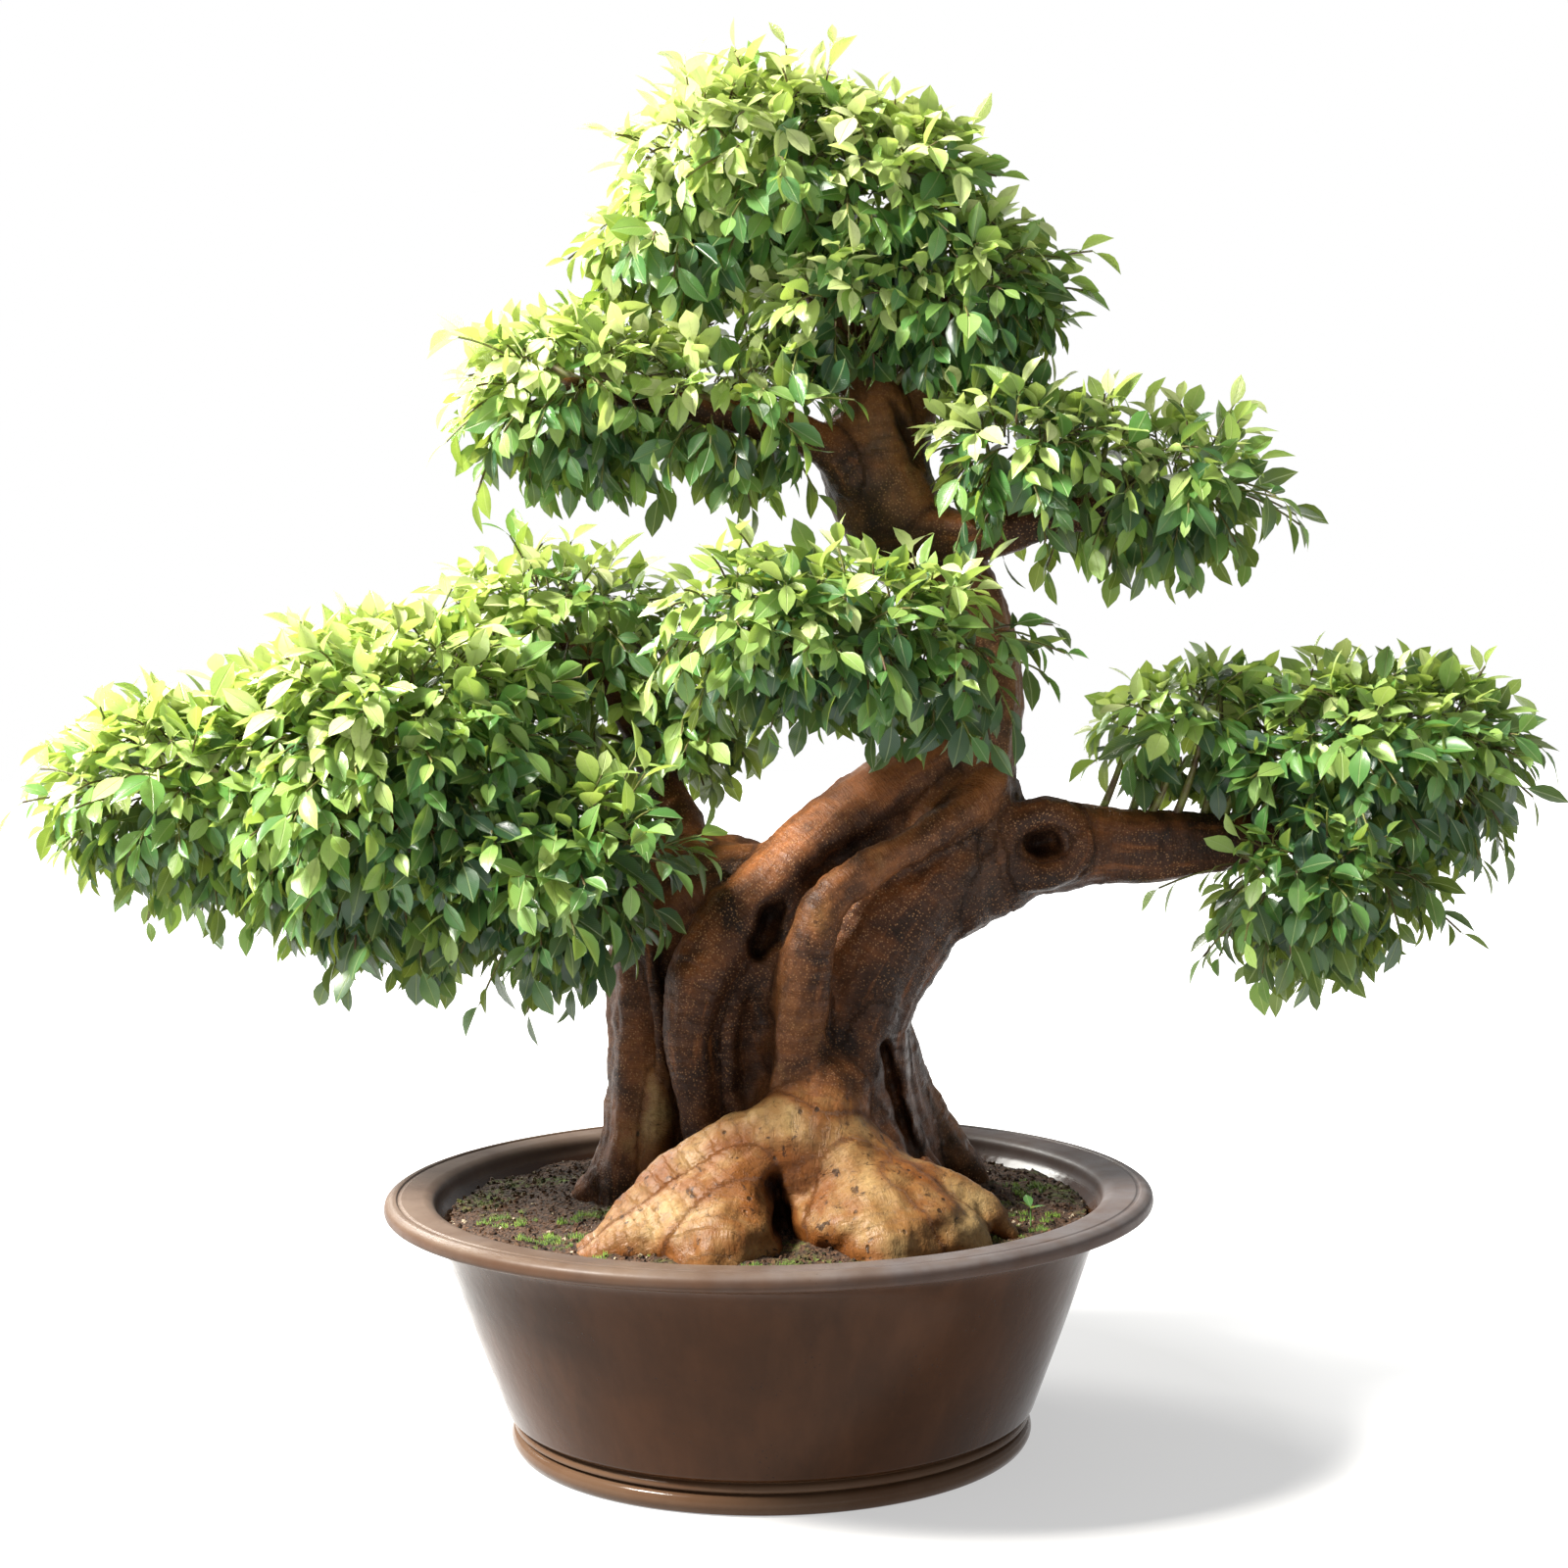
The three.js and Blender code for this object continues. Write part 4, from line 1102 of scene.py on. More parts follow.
LIMBS = (
    Limb("trunk leaning to the right as it rises",
         ((48, -18, 150, 56), (55, -20, 200, 61), (58, -20, 240, 64), (54, -18, 298, 60),
          (58, -15, 346, 54), (78, -10, 390, 55), (106, -5, 434, 55), (142, 0, 476, 53),
          (164, 5, 520, 46)), (5, 0.03, 0.4)),
    Limb("broad left face of the trunk",
         ((8, -20, 160, 46), (4, -22, 230, 50), (-4, -22, 290, 50), (-10, -16, 346, 53),
          (-4, -8, 398, 54), (34, 0, 450, 50), (90, 2, 498, 42)), (3, 0.04, 0.2)),
    Limb("upper trunk in an S",
         ((160, 5, 490, 50), (170, 8, 544, 40), (180, 12, 600, 37), (178, 18, 652, 36),
          (156, 20, 706, 37), (120, 15, 748, 42), (98, 10, 788, 43), (92, 5, 830, 35), (84, 5, 872, 23),
          (66, 5, 914, 17), (42, 0, 960, 13), (15, 0, 1030, 7)), (3, 0.06, 1.1), Tone.DUSTY),
    Limb("left column",
         ((-108, 5, 160, 37), (-108, 0, 222, 35), (-103, 2, 280, 30), (-102, 8, 336, 31),
          (-96, 18, 388, 35), (-70, 28, 428, 42), (-30, 30, 448, 46)), (4, 0.1, 0.2), Tone.ORANGE),
    Limb("plate on the left column",
         ((-92, -30, 196, 11), (-92, -32, 230, 13), (-90, -28, 268, 13), (-88, -24, 300, 9)),
         (2, 0.1, 0.2), Tone.CREAM),
    Limb("aerial root on the left column",
         ((-96, -18, 410, 6), (-92, -27, 380, 5), (-88, -30, 350, 4), (-86, -30, 318, 4),
          (-84, -29, 292, 3)), (2, 0.05, 0.0)),
    Limb("left branch",
         ((16, 20, 426, 50), (-30, 30, 444, 45), (-74, 28, 458, 36), (-126, 20, 470, 30),
          (-194, 5, 484, 24), (-274, -10, 500, 18), (-360, -20, 514, 13), (-440, -25, 532, 7)),
         (3, 0.05, 0.9), Tone.OCHRE),
    Limb("strand that rises into the arching limb",
         ((-46, -44, 175, 20), (-48, -49, 236, 18), (-56, -56, 285, 17), (-62, -57, 335, 20),
          (-52, -48, 385, 28), (-30, -38, 416, 32), (-2, -34, 446, 30), (30, -27, 479, 28),
          (66, -18, 508, 28), (106, -7, 537, 28), (146, 2, 556, 30)), (3, 0.04, 0.3)),
    Limb("orange tube along the front",
         ((14, -60, 262, 35), (20, -70, 330, 30), (28, -78, 384, 24), (36, -82, 422, 19),
          (54, -78, 454, 17), (88, -70, 475, 16), (130, -60, 498, 16), (160, -48, 516, 16),
          (182, -30, 534, 17)), (2, 0.04, 0.0), Tone.ORANGE),
    Limb("back flank",
         ((30, 42, 160, 48), (38, 44, 270, 42), (52, 42, 340, 38), (90, 35, 420, 30)), (3, 0.05, 0.5)),
    Limb("web between the column and the trunk",
         ((-48, 8, 160, 36), (-50, 4, 270, 31), (-42, 12, 380, 34)), (3, 0.05, 0.2)),
    Limb("right branch",
         ((158, 0, 466, 50), (210, 0, 482, 38), (242, -2, 486, 38), (274, -2, 486, 31),
          (316, 0, 484, 28), (368, 0, 485, 24), (420, -5, 494, 18), (476, -10, 502, 12),
          (530, -12, 510, 6)), (3, 0.05, 0.6)),
    Limb("swollen rim of the knot hole", ring_route((226, -33, 488), (31, 27), 11, 12), (2, 0.06, 0.0)),
    Limb("right front root",
         ((78, -40, 352, 28), (66, -53, 310, 25), (72, -60, 276, 21), (92, -68, 250, 18),
          (122, -74, 227, 15), (156, -80, 200, 12), (180, -84, 176, 7)), (2, 0.05, 0.0)),
    Limb("right middle root",
         ((88, -10, 336, 24), (94, -6, 292, 20), (104, -8, 256, 17), (126, -14, 222, 15),
          (162, -24, 176, 9)), (2, 0.04, 0.0)),
    Limb("web behind the right roots",
         ((84, 6, 348, 30), (94, 14, 300, 30), (108, 22, 246, 32), (120, 30, 176, 32)),
         (2, 0.04, 0.0)),
    Limb("right back root",
         ((88, 24, 350, 30), (102, 35, 306, 26), (118, 45, 270, 26), (138, 56, 236, 27),
          (160, 64, 206, 23), (182, 74, 176, 14)), (3, 0.05, 0.7), Tone.DUSTY),
    Limb("neck of the pale hump",
         ((46, -26, 322, 36), (38, -60, 286, 45), (26, -92, 254, 48), (18, -108, 205, 42)),
         (3, 0.04, 0.2), Tone.OCHRE),
    Limb("saddle of the pale hump",
         ((-136, -138, 178, 16), (-106, -128, 196, 25), (-70, -114, 224, 32), (-28, -106, 244, 38),
          (12, -102, 254, 44), (48, -100, 246, 42), (78, -104, 226, 34), (104, -110, 200, 22)),
         (3, 0.04, 0.6), Tone.PALE),
    Limb("front left lobe",
         ((-16, -116, 236, 38), (-44, -136, 218, 34), (-74, -150, 203, 30), (-104, -157, 193, 22),
          (-130, -158, 184, 13), (-146, -156, 174, 7)), (3, 0.05, 0.5), Tone.PALE),
    Limb("front left lobe towards the rim",
         ((-20, -128, 224, 32), (-34, -160, 204, 34), (-38, -182, 190, 32), (-40, -196, 166, 24)),
         (2, 0.05, 0.5), Tone.PALE),
    Limb("front right lobe",
         ((56, -106, 240, 38), (74, -136, 216, 38), (86, -160, 203, 38), (92, -180, 188, 34),
          (92, -196, 162, 24)), (3, 0.05, 0.1), Tone.PALE),
    Limb("right toe",
         ((84, -116, 228, 30), (120, -118, 224, 24), (148, -124, 217, 18), (170, -128, 209, 12),
          (188, -128, 190, 7)), (2, 0.05, 0.0), Tone.PALE),
    Limb("right front toe",
         ((96, -146, 218, 33), (128, -160, 203, 25), (152, -164, 192, 16), (172, -166, 178, 8)),
         (2, 0.05, 0.6), Tone.PALE),
    Limb("back root",
         ((45, 40, 256, 42), (36, 92, 226, 34), (20, 138, 202, 25), (-4, 176, 184, 15),
          (-18, 192, 174, 8)), (3, 0.05, 0.4), Tone.OCHRE),
    Limb("back right root",
         ((80, 35, 252, 38), (110, 78, 224, 30), (136, 118, 201, 22), (156, 150, 184, 13),
          (166, 164, 174, 7)), (3, 0.05, 0.0), Tone.OCHRE),
    Limb("back left root",
         ((-62, 15, 240, 34), (-92, 58, 217, 28), (-122, 96, 199, 20), (-148, 124, 184, 12),
          (-160, 136, 174, 7)), (3, 0.05, 0.9), Tone.OCHRE),
    Limb("left root",
         ((-106, 4, 222, 32), (-132, 14, 203, 24), (-156, 28, 189, 14), (-170, 36, 176, 8)),
         (2, 0.05, 0.0)),
    Limb("branch to the upper left pad",
         ((88, 0, 788, 28), (55, -12, 812, 19), (10, -24, 830, 15), (-50, -28, 843, 12),
          (-115, -25, 856, 9), (-180, -20, 868, 5)), (2, 0.05, 0.0)),
    Limb("branch to the upper right pad",
         ((112, 8, 740, 32), (150, -12, 740, 24), (188, -28, 740, 19), (228, -34, 750, 15),
          (282, -28, 760, 11), (340, -15, 766, 6)), (3, 0.05, 0.4)),
    Limb("second stem beside the slit",
         ((110, 15, 775, 32), (120, 20, 830, 23), (136, 18, 875, 15), (156, 12, 930, 8)),
         (3, 0.05, 0.4), Tone.DUSTY),
    Limb("branch to the centre pad",
         ((180, 8, 590, 28), (162, -30, 612, 17), (135, -68, 625, 13), (90, -92, 636, 11),
          (40, -106, 648, 8), (-15, -115, 660, 5)), (2, 0.05, 0.0)),
    Limb("branch to the left back pad",
         ((-40, 38, 446, 30), (-66, 72, 486, 20), (-88, 98, 536, 16), (-116, 104, 590, 13),
          (-152, 102, 640, 10), (-200, 100, 684, 5)), (2, 0.05, 0.0)),
)

BURLS = (
    Lump("front left bulge", (-38, -164, 194), (50, 42, 38), 0),
    Lump("flat right lobe", (94, -148, 203), (74, 52, 31), 6),
)

POCKETS = (
    Lump("knot hole in the right branch", (226, -38, 488), (15, 26, 11), 12),
    Lump("hole below the arching limb", (2, -62, 424), (10, 34, 24), 28, shade=0.9),
    Lump("slit in the upper trunk", (122, -30, 822), (8, 18, 30), -25),
    Lump("hollow below the pale hump", (12, -160, 206), (7, 40, 40), -14),
    Lump("recessed face beside the tube", (-12, -84, 334), (19, 32, 66), 6, shade=0.5),
    Lump("gap between the right roots", (107, -52, 276), (6, 30, 58), -16, shade=0.55),
    Lump("furrow below the tube", (128, -68, 472), (44, 16, 6), -30, shade=0.7),
    Lump("furrow between the arch and the tube", (72, -52, 487), (50, 18, 9), -32, shade=0.6),
)


def melted(first: np.ndarray, second: np.ndarray, reach: float) -> np.ndarray:
    """The distance to two shapes together, which run into each other where both are within reach."""
    soft = np.maximum(reach - np.abs(first - second), 0) / reach
    return np.minimum(first, second) - soft * soft * reach / 4


@dataclass
class Wood:
    """Trunk, surface roots and branches: one grown piece, its limbs melted into each other.

    Attributes:
        voxel: The fineness of the surface.
        blend: How far two limbs run into each other where they meet.
        cut: The height below which the roots are hidden in the soil.
        soft_edge: How far a hollow's edge is rounded.
        far: The distance that stands for anything further off.
        tone_reach: How fast one limb's colour gives way to the next one's.
        crease_reach: How wide the shade painted where two limbs meet is.
        rim_reach: How far from a hollow's surface shade is painted on the bark.
        damp: The height below which the bark turns paler, and over how much height.
    """

    limbs: tuple[Limb, ...] = LIMBS
    burls: tuple[Lump, ...] = BURLS
    pockets: tuple[Lump, ...] = POCKETS
    voxel: float = 0.0034
    blend: float = 0.012
    cut: float = 0.172
    soft_edge: float = 0.008
    far: float = 0.05
    tone_reach: float = 0.006
    crease_reach: float = 0.008
    rim_reach: float = 0.004
    damp: tuple[float, float] = (0.235, 0.05)
    finish: BarkFinish = field(default_factory=BarkFinish)

    def _grid(self) -> tuple[np.ndarray, tuple[int, int, int]]:
        """The lowest corner of a grid round the limbs, and its number of points each way.

        Returns:
            The corner in metres, and the numbers of points.
        """
        boxes = [bone.box(4 * self.voxel) for limb in self.limbs for bone in limb.bones()]
        low = np.min([low for low, _ in boxes], axis=0)
        high = np.max([high for _, high in boxes], axis=0)
        low[2] = self.cut - 3 * self.voxel
        return low, tuple(int(n) for n in np.ceil((high - low) / self.voxel) + 1)

    def _window(self, box: tuple[np.ndarray, np.ndarray], low: np.ndarray,
                size: tuple[int, int, int]) -> tuple[tuple[slice, ...], list[np.ndarray]]:
        """The part of the grid inside a box, and its coordinates.

        Args:
            box: Its two corners.
            low: The grid's lowest corner.
            size: The grid's number of points.

        Returns:
            The slices, and the x, y and z of their points.
        """
        first = np.maximum(np.floor((box[0] - low) / self.voxel).astype(int), 0)
        last = np.minimum(np.ceil((box[1] - low) / self.voxel).astype(int) + 1, size)
        last = np.maximum(last, first)
        axes = [low[n] + self.voxel * np.arange(first[n], last[n]) for n in range(3)]
        return tuple(slice(a, b) for a, b in zip(first, last)), list(np.ix_(*axes))

    def _field(self) -> tuple[np.ndarray, np.ndarray]:
        """Distances to the wood's skin on the grid, and the grid's lowest corner.

        Returns:
            The distances and the corner.
        """
        low, size = self._grid()
        whole = np.full(size, self.far, np.float32)
        margin = self.blend + 2 * self.voxel
        for limb in self.limbs:
            bones = list(limb.bones())
            boxes = [bone.box(margin) for bone in bones]
            span = (np.min([box[0] for box in boxes], axis=0), np.max([box[1] for box in boxes], axis=0))
            outer, _ = self._window(span, low, size)
            own = np.full([s.stop - s.start for s in outer], self.far, np.float32)
            for bone, box in zip(bones, boxes):
                window, (x, y, z) = self._window(box, low, size)
                inner = tuple(slice(w.start - o.start, w.stop - o.start) for w, o in zip(window, outer))
                own[inner] = np.minimum(own[inner], bone.measure(x, y, z, limb.ridges)[0])
            whole[outer] = melted(whole[outer], own, self.blend)
        for burl in self.burls:
            window, (x, y, z) = self._window(burl.box(margin), low, size)
            whole[window] = melted(whole[window], burl.depth(x, y, z), self.blend)
        self._carve(whole, low, size)
        return whole, low

    def _carve(self, whole: np.ndarray, low: np.ndarray, size: tuple[int, int, int]) -> None:
        """Hollows the pockets out of the wood and cuts it flat in the soil.

        Args:
            whole: The distances, which are changed.
            low: The grid's lowest corner.
            size: The grid's number of points.
        """
        for pocket in self.pockets:
            window, (x, y, z) = self._window(pocket.box(2 * self.soft_edge), low, size)
            whole[window] = -melted(-whole[window], pocket.depth(x, y, z), self.soft_edge)
        heights = low[2] + self.voxel * np.arange(size[2])
        np.maximum(whole, (self.cut - heights)[None, None, :], out=whole)

    def _skin(self) -> tuple[np.ndarray, np.ndarray]:
        """The wood's surface as vertices and quads that face out.

        Returns:
            The vertices in metres, and four vertex numbers for each face.
        """
        whole, low = self._field()
        grid = openvdb.FloatGrid(self.far)
        grid.copyFromArray(whole)
        grid.gridClass = openvdb.GridClass.LEVEL_SET
        points, quads = grid.convertToQuads(isovalue=0.0)
        vertices = np.asarray(points) * self.voxel + low
        quads = np.asarray(quads)
        a, b, c = (vertices[quads[:, n]] for n in (0, 1, 2))
        volume = float(np.einsum("ij,ij->i", a, np.cross(b, c)).sum())
        return vertices, quads if volume > 0 else quads[:, ::-1]

    def _bark_places(self, vertices: np.ndarray) -> dict[str, np.ndarray]:
        """Where each vertex lies on its limb, its colours, and how much shade is painted on it in creases and
        hollows.

        Args:
            vertices: The surface's points.

        Returns:
            The values to keep on the mesh, by name.
        """
        count = len(vertices)
        nearest, second = np.full(count, 1.0), np.full(count, 1.0)
        place = np.zeros((count, 3))
        tones, weights = np.zeros((count, 2)), np.full(count, 1e-9)
        for number, limb in enumerate(self.limbs):
            best = np.full(count, 1.0)
            own = np.zeros((count, 3))
            for bone in limb.bones():
                low, high = bone.box(0.03)
                near = np.flatnonzero(np.all((vertices > low) & (vertices < high), axis=1))
                gap, along, u, v = bone.measure(*vertices[near].T, limb.ridges)
                closer = gap < best[near]
                chosen = near[closer]
                best[chosen] = gap[closer]
                own[chosen] = np.stack([along[closer], u[closer], v[closer]], axis=1)
            weight = np.exp(-np.clip(best, 0, 1) / self.tone_reach)
            tones += weight[:, None] * np.array([limb.tone.pale, limb.tone.green])
            weights += weight
            won = best < nearest
            second = np.where(won, nearest, np.minimum(second, best))
            nearest = np.where(won, best, nearest)
            place[won] = own[won] + np.array([number * 1.7, 0, 0])
        for burl in self.burls:
            weight = np.exp(-np.clip(burl.depth(*vertices.T), 0, 1) / self.tone_reach)
            tones += weight[:, None] * np.array([burl.tone.pale, burl.tone.green])
            weights += weight
        tones /= weights[:, None]
        low_down = np.clip((self.damp[0] - vertices[:, 2]) / self.damp[1], 0, 1)
        # Painted shade: strong where two limbs come close and inside each hollow.
        crease_shade = np.clip(1 - (second - nearest) / self.crease_reach, 0, 1) ** 2 * (0.75 - 0.5 * tones[:, 0])
        for pocket in self.pockets:
            edge = np.clip(1 - np.abs(pocket.depth(*vertices.T)) / self.rim_reach, 0, 1)
            crease_shade = np.maximum(crease_shade, pocket.shade * edge)
        return {"bark": place, "pale": np.maximum(tones[:, 0], 0.35 * low_down), "green": tones[:, 1],
                "crease_shade": crease_shade}

    def _relief(self) -> GeometryTree:
        """The tree that swells and furrows the bark along its limbs.

        Returns:
            The tree.
        """
        tree = GeometryTree("Bark relief", {"Swelling": 0.0045, "Knobs": 0.0013, "Scars": 0.0015,
                                            "Furrow": 0.0014, "Wrinkle": 0.0008})
        place = tree.named("bark", "FLOAT_VECTOR")
        furrows = tree.noise(1.0, 3.0, tree.vectors("MULTIPLY", place, (9.0, 70.0, 70.0)))
        wrinkles = tree.noise(1.0, 2.0, tree.vectors("MULTIPLY", place, (170.0, 22.0, 22.0)))
        rough = tree.maths("MULTIPLY_ADD", tree.named("pale"), tree.value("Scars"), tree.value("Knobs"))
        height = tree.times(tree.span(tree.noise(17.0, 2.0), 0.0, 1.0, -1.0, 1.0), tree.value("Swelling"))
        for noise, amount in ((furrows, tree.value("Furrow")), (wrinkles, tree.value("Wrinkle")),
                              (tree.noise(30.0, 3.0, distortion=0.5), rough)):
            height = tree.maths("MULTIPLY_ADD", tree.span(noise, 0.25, 0.75, -1.0, 1.0), amount, height)
        offset = tree.scaled(tree.node("GeometryNodeInputNormal").outputs[0], height)
        tree.output(tree.shifted(tree.given.outputs[0], offset))
        return tree

    def build(self) -> Thing:
        """Makes the wood.

        Returns:
            The finished piece.
        """
        vertices, quads = self._skin()
        rough = mesh_object("wood_base", vertices, quads)
        for name, values in self._bark_places(vertices).items():
            keep(rough, name, values)
        wood = self._relief().apply(rough, "banyan_wood")
        paint(wood, self.finish.material())
        return settle(wood, "bark", "trunk")


@dataclass(frozen=True)
class LeafShape:
    """A ficus leaf as one folded, bent blade on a short stalk. It grows along +Y and faces +Z.

    Attributes:
        width: Width as a share of the length.
        fold: How far the halves rise from the midrib.
        bend: How far the tip is bent down.
        sway: How far the tip swings to one side.
        stalk: The stalk's length as a share of the whole.
        stations: Places along the blade, and the share of its width there.
    """

    width: float = 0.5
    fold: float = 0.22
    bend: float = 0.2
    sway: float = 0.0
    stalk: float = 0.12
    stations: tuple[tuple[float, float], ...] = (
        (0.0, 0.06), (0.14, 0.5), (0.34, 0.9), (0.54, 1.0), (0.74, 0.76), (0.88, 0.34), (1.0, 0.0))

    def _point(self, along: float, across: float) -> Point:
        """A point of the blade in units of the leaf's length.

        Args:
            along: The place along the blade, from zero to one.
            across: The place across it, from minus one to one.

        Returns:
            The point.
        """
        blade = self.stalk + (1 - self.stalk) * along
        rise = self.fold * abs(across) * self.width / 2
        x = across * self.width / 2 + self.sway * along * along
        return x, blade * (1 - 0.08 * self.bend), rise - self.bend * along * along

    def build(self, name: str) -> Thing:
        """Makes the leaf's mesh with its UV map, and takes it out of view.

        Args:
            name: The object's name.

        Returns:
            The leaf, one unit long.
        """
        points: list[Point] = []
        marks: list[tuple[float, float]] = []
        for along, half in self.stations[:-1]:
            for across in (-half, 0.0, half):
                points.append(self._point(along, across))
                marks.append((0.5 + across / 2, along))
        points.append(self._point(1.0, 0.0))
        marks.append((0.5, 1.0))
        tip = len(points) - 1
        rows = len(self.stations) - 1
        faces = [(3 * r + c, 3 * r + c + 1, 3 * r + c + 4, 3 * r + c + 3)
                 for r in range(rows - 1) for c in (0, 1)]
        last = 3 * (rows - 1)
        faces += [(last, last + 1, tip), (last + 1, last + 2, tip)]
        start = len(points)
        thin = 0.014
        for x, z in ((-thin, 0.006), (thin, 0.006), (0.0, -thin)):
            points += [(x, 0.0, z), (x * 0.8, self.stalk * 1.1, z * 0.8)]
            marks += [(0.5, 0.0), (0.5, 0.0)]
        faces += [(start + 2 * n, start + (2 * n + 2) % 6, start + (2 * n + 3) % 6, start + 2 * n + 1)
                  for n in range(3)]
        leaf = mesh_object(name, points, faces)
        layer = leaf.data.uv_layers.new(name="UVMap")
        for loop in leaf.data.loops:
            layer.data[loop.index].uv = marks[loop.vertex_index]
        bpy.context.scene.collection.objects.unlink(leaf)
        return leaf


LEAF_SHAPES = (
    LeafShape(width=0.46, fold=0.2, bend=0.12, sway=0.03),
    LeafShape(width=0.42, fold=0.45, bend=0.24, sway=-0.05),
    LeafShape(width=0.5, fold=0.12, bend=0.3, sway=0.06),
    LeafShape(width=0.4, fold=0.65, bend=0.08, sway=-0.02),
)


@dataclass(frozen=True)
class Lobe:
    """A rounded part of a pad: centre and half sizes out to the leaf tips, in millimetres."""

    centre: Point
    half: Point

    def within(self, reach: float) -> np.ndarray:
        """Half sizes, in millimetres, of the ellipsoid that lies a reach inside the lobe."""
        half = np.array(self.half)
        return np.maximum(half - reach / MM, 0.3 * half)

    def ball(self, half: np.ndarray, detail: int = 4) -> tuple[np.ndarray, list[tuple[int, int, int]]]:
        """An ellipsoid in the middle of the lobe.

        Args:
            half: Its half sizes in millimetres.
            detail: How often the icosahedron's faces are split.

        Returns:
            Its vertices in metres and its triangles.
        """
        ball = bmesh.new()
        bmesh.ops.create_icosphere(ball, subdivisions=detail, radius=1.0)
        vertices = np.array([tuple(v.co) for v in ball.verts])
        faces = [tuple(v.index for v in face.verts) for face in ball.faces]
        ball.free()
        return (vertices * half + np.array(self.centre)) * MM, faces

    def inside(self, points: np.ndarray, half: np.ndarray) -> np.ndarray:
        """Which points, in metres, lie in the ellipsoid of those half sizes."""
        return (((points / MM - np.array(self.centre)) / half) ** 2).sum(1) < 1


@dataclass
class LeafyPad:
    """A clipped pad of foliage: twigs standing out of its inner surface, with leaves along them.

    Attributes:
        name: The solid that it stands for.
        lobes: Its rounded parts.
        branch: The limb that carries it.
        reach: How far the leaves stand out of the surface that the twigs grow on.
        core: The size of the shaded inner layer as a share of that surface's.
        density: Twigs per square metre of the surface.
        seed: What its random numbers start from.
        spacing: The least distance between two twigs.
        twig_length: The length of a middling twig.
        twig_radius: Its radius.
        sag: How far its tip hangs.
        leaf_length: The length of a large leaf.
        leaves_per_twig: How many points a twig has for leaves.
        clearance: How far a leaf's middle stays from the wood.
        sun: The direction from which most light comes.
    """

    name: str
    branch: str
    lobes: tuple[Lobe, ...]
    seed: int
    reach: float = 0.056
    core: float = 0.6
    density: float = 6200.0
    spacing: float = 0.0078
    twig_length: float = 0.042
    twig_radius: float = 0.001
    sag: float = 0.012
    leaf_length: float = 0.039
    leaves_per_twig: int = 6
    clearance: float = 0.016
    sun: Point = (-0.48, -0.22, 0.85)

    def surface(self, share: float = 1.0) -> Thing:
        """The surface that the twigs grow on, round the lobes together, or a share of its size.

        Args:
            share: The share.

        Returns:
            The surface, in the scene.
        """
        vertices: list[np.ndarray] = []
        faces: list[tuple[int, ...]] = []
        for lobe in self.lobes:
            points, triangles = lobe.ball(lobe.within(self.reach) * share)
            hidden = np.zeros(len(points), bool)
            for other in self.lobes:
                if other is not lobe:
                    hidden |= other.inside(points, other.within(self.reach) * share * 0.98)
            start = sum(len(v) for v in vertices)
            faces += [tuple(start + n for n in triangle) for triangle in triangles
                      if not any(hidden[n] for n in triangle)]
            vertices.append(points)
        return mesh_object(f"{self.name}_surface", np.vstack(vertices), faces)

    def _tree(self, leaf: Paint, twig: Paint, wood: Thing,
              leaves: Sequence[Thing], inner: bool) -> GeometryTree:
        """The tree that grows twigs on a surface and leaves on the twigs.

        Args:
            leaf: The leaves' material.
            twig: The twigs' material.
            wood: The trunk, which no leaf may pierce.
            leaves: The leaf meshes to choose from.
            inner: Whether this is the sparse, shaded layer inside the pad.

        Returns:
            The tree.
        """
        size = self.leaf_length * (0.95 if inner else 1.0)
        tree = GeometryTree(f"Leaves of {self.name}", {
            "Density": self.density * (0.6 if inner else 1.0), "Twig Length": self.twig_length,
            "Twig Radius": self.twig_radius, "Leaf Length": size, "Leaves": self.leaves_per_twig,
            "Seed": self.seed + (50 if inner else 0), "Leaf": leaf, "Twig": twig, "Wood": wood})
        spread = tree.node("GeometryNodeDistributePointsOnFaces", {
            "Mesh": tree.given.outputs[0], "Distance Min": self.spacing, "Density Max": tree.value("Density"),
            "Density Factor": tree.span(tree.clumps(), 0.34, 0.5, 0.35, 1.0),
            "Seed": tree.value("Seed")}, distribute_method="POISSON")
        jitter = tree.random((-0.55, -0.55, -0.4), (0.55, 0.55, 0.55), 1, "FLOAT_VECTOR")
        outward = tree.vectors("NORMALIZE", tree.vectors("ADD", spread.outputs["Normal"], jitter))
        points = tree.store(spread.outputs[0], "outward", outward, "POINT", "FLOAT_VECTOR")
        # The pad surface's facing towards the sun is kept as sunny, which the leaf material paints as light;
        # on the inner layer it is lowered, which paints those leaves darker as shade.
        facing = tree.node("ShaderNodeVectorMath", {0: spread.outputs["Normal"], 1: self.sun},
                           operation="DOT_PRODUCT").outputs["Value"]
        points = tree.store(points, "sunny", tree.maths("SUBTRACT", facing, 0.7 if inner else 0.0), "POINT")
        line = tree.node("GeometryNodeCurvePrimitiveLine", {"Start": (0, 0, 0), "End": (0, 1, 0)})
        shoots = tree.maths("MULTIPLY_ADD", tree.maths("POWER", tree.random(0.0, 1.0, 2), 3.0), 0.75, 0.5)
        shoots = tree.times(shoots, tree.span(tree.clumps(), 0.32, 0.66, 0.7, 1.5))
        reach = tree.times(tree.value("Twig Length"), shoots)
        sprouts = tree.node("GeometryNodeInstanceOnPoints", {
            "Points": points, "Instance": line.outputs[0],
            "Rotation": tree.aimed(tree.named("outward", "FLOAT_VECTOR"), (0.0, 0.0, 1.0)), "Scale": reach})
        lines = tree.node("GeometryNodeRealizeInstances", {0: sprouts.outputs[0]})
        inputs = {"Curve": lines.outputs[0], "Count": tree.value("Leaves")}
        twigs = tree.node("GeometryNodeResampleCurve", inputs).outputs[0]
        along = tree.node("GeometryNodeSplineParameter").outputs["Factor"]
        sag = tree.times(tree.times(along, along), -self.sag)
        return self._dress(tree, tree.shifted(twigs, tree.combine(0.0, 0.0, sag)), leaves, inner)

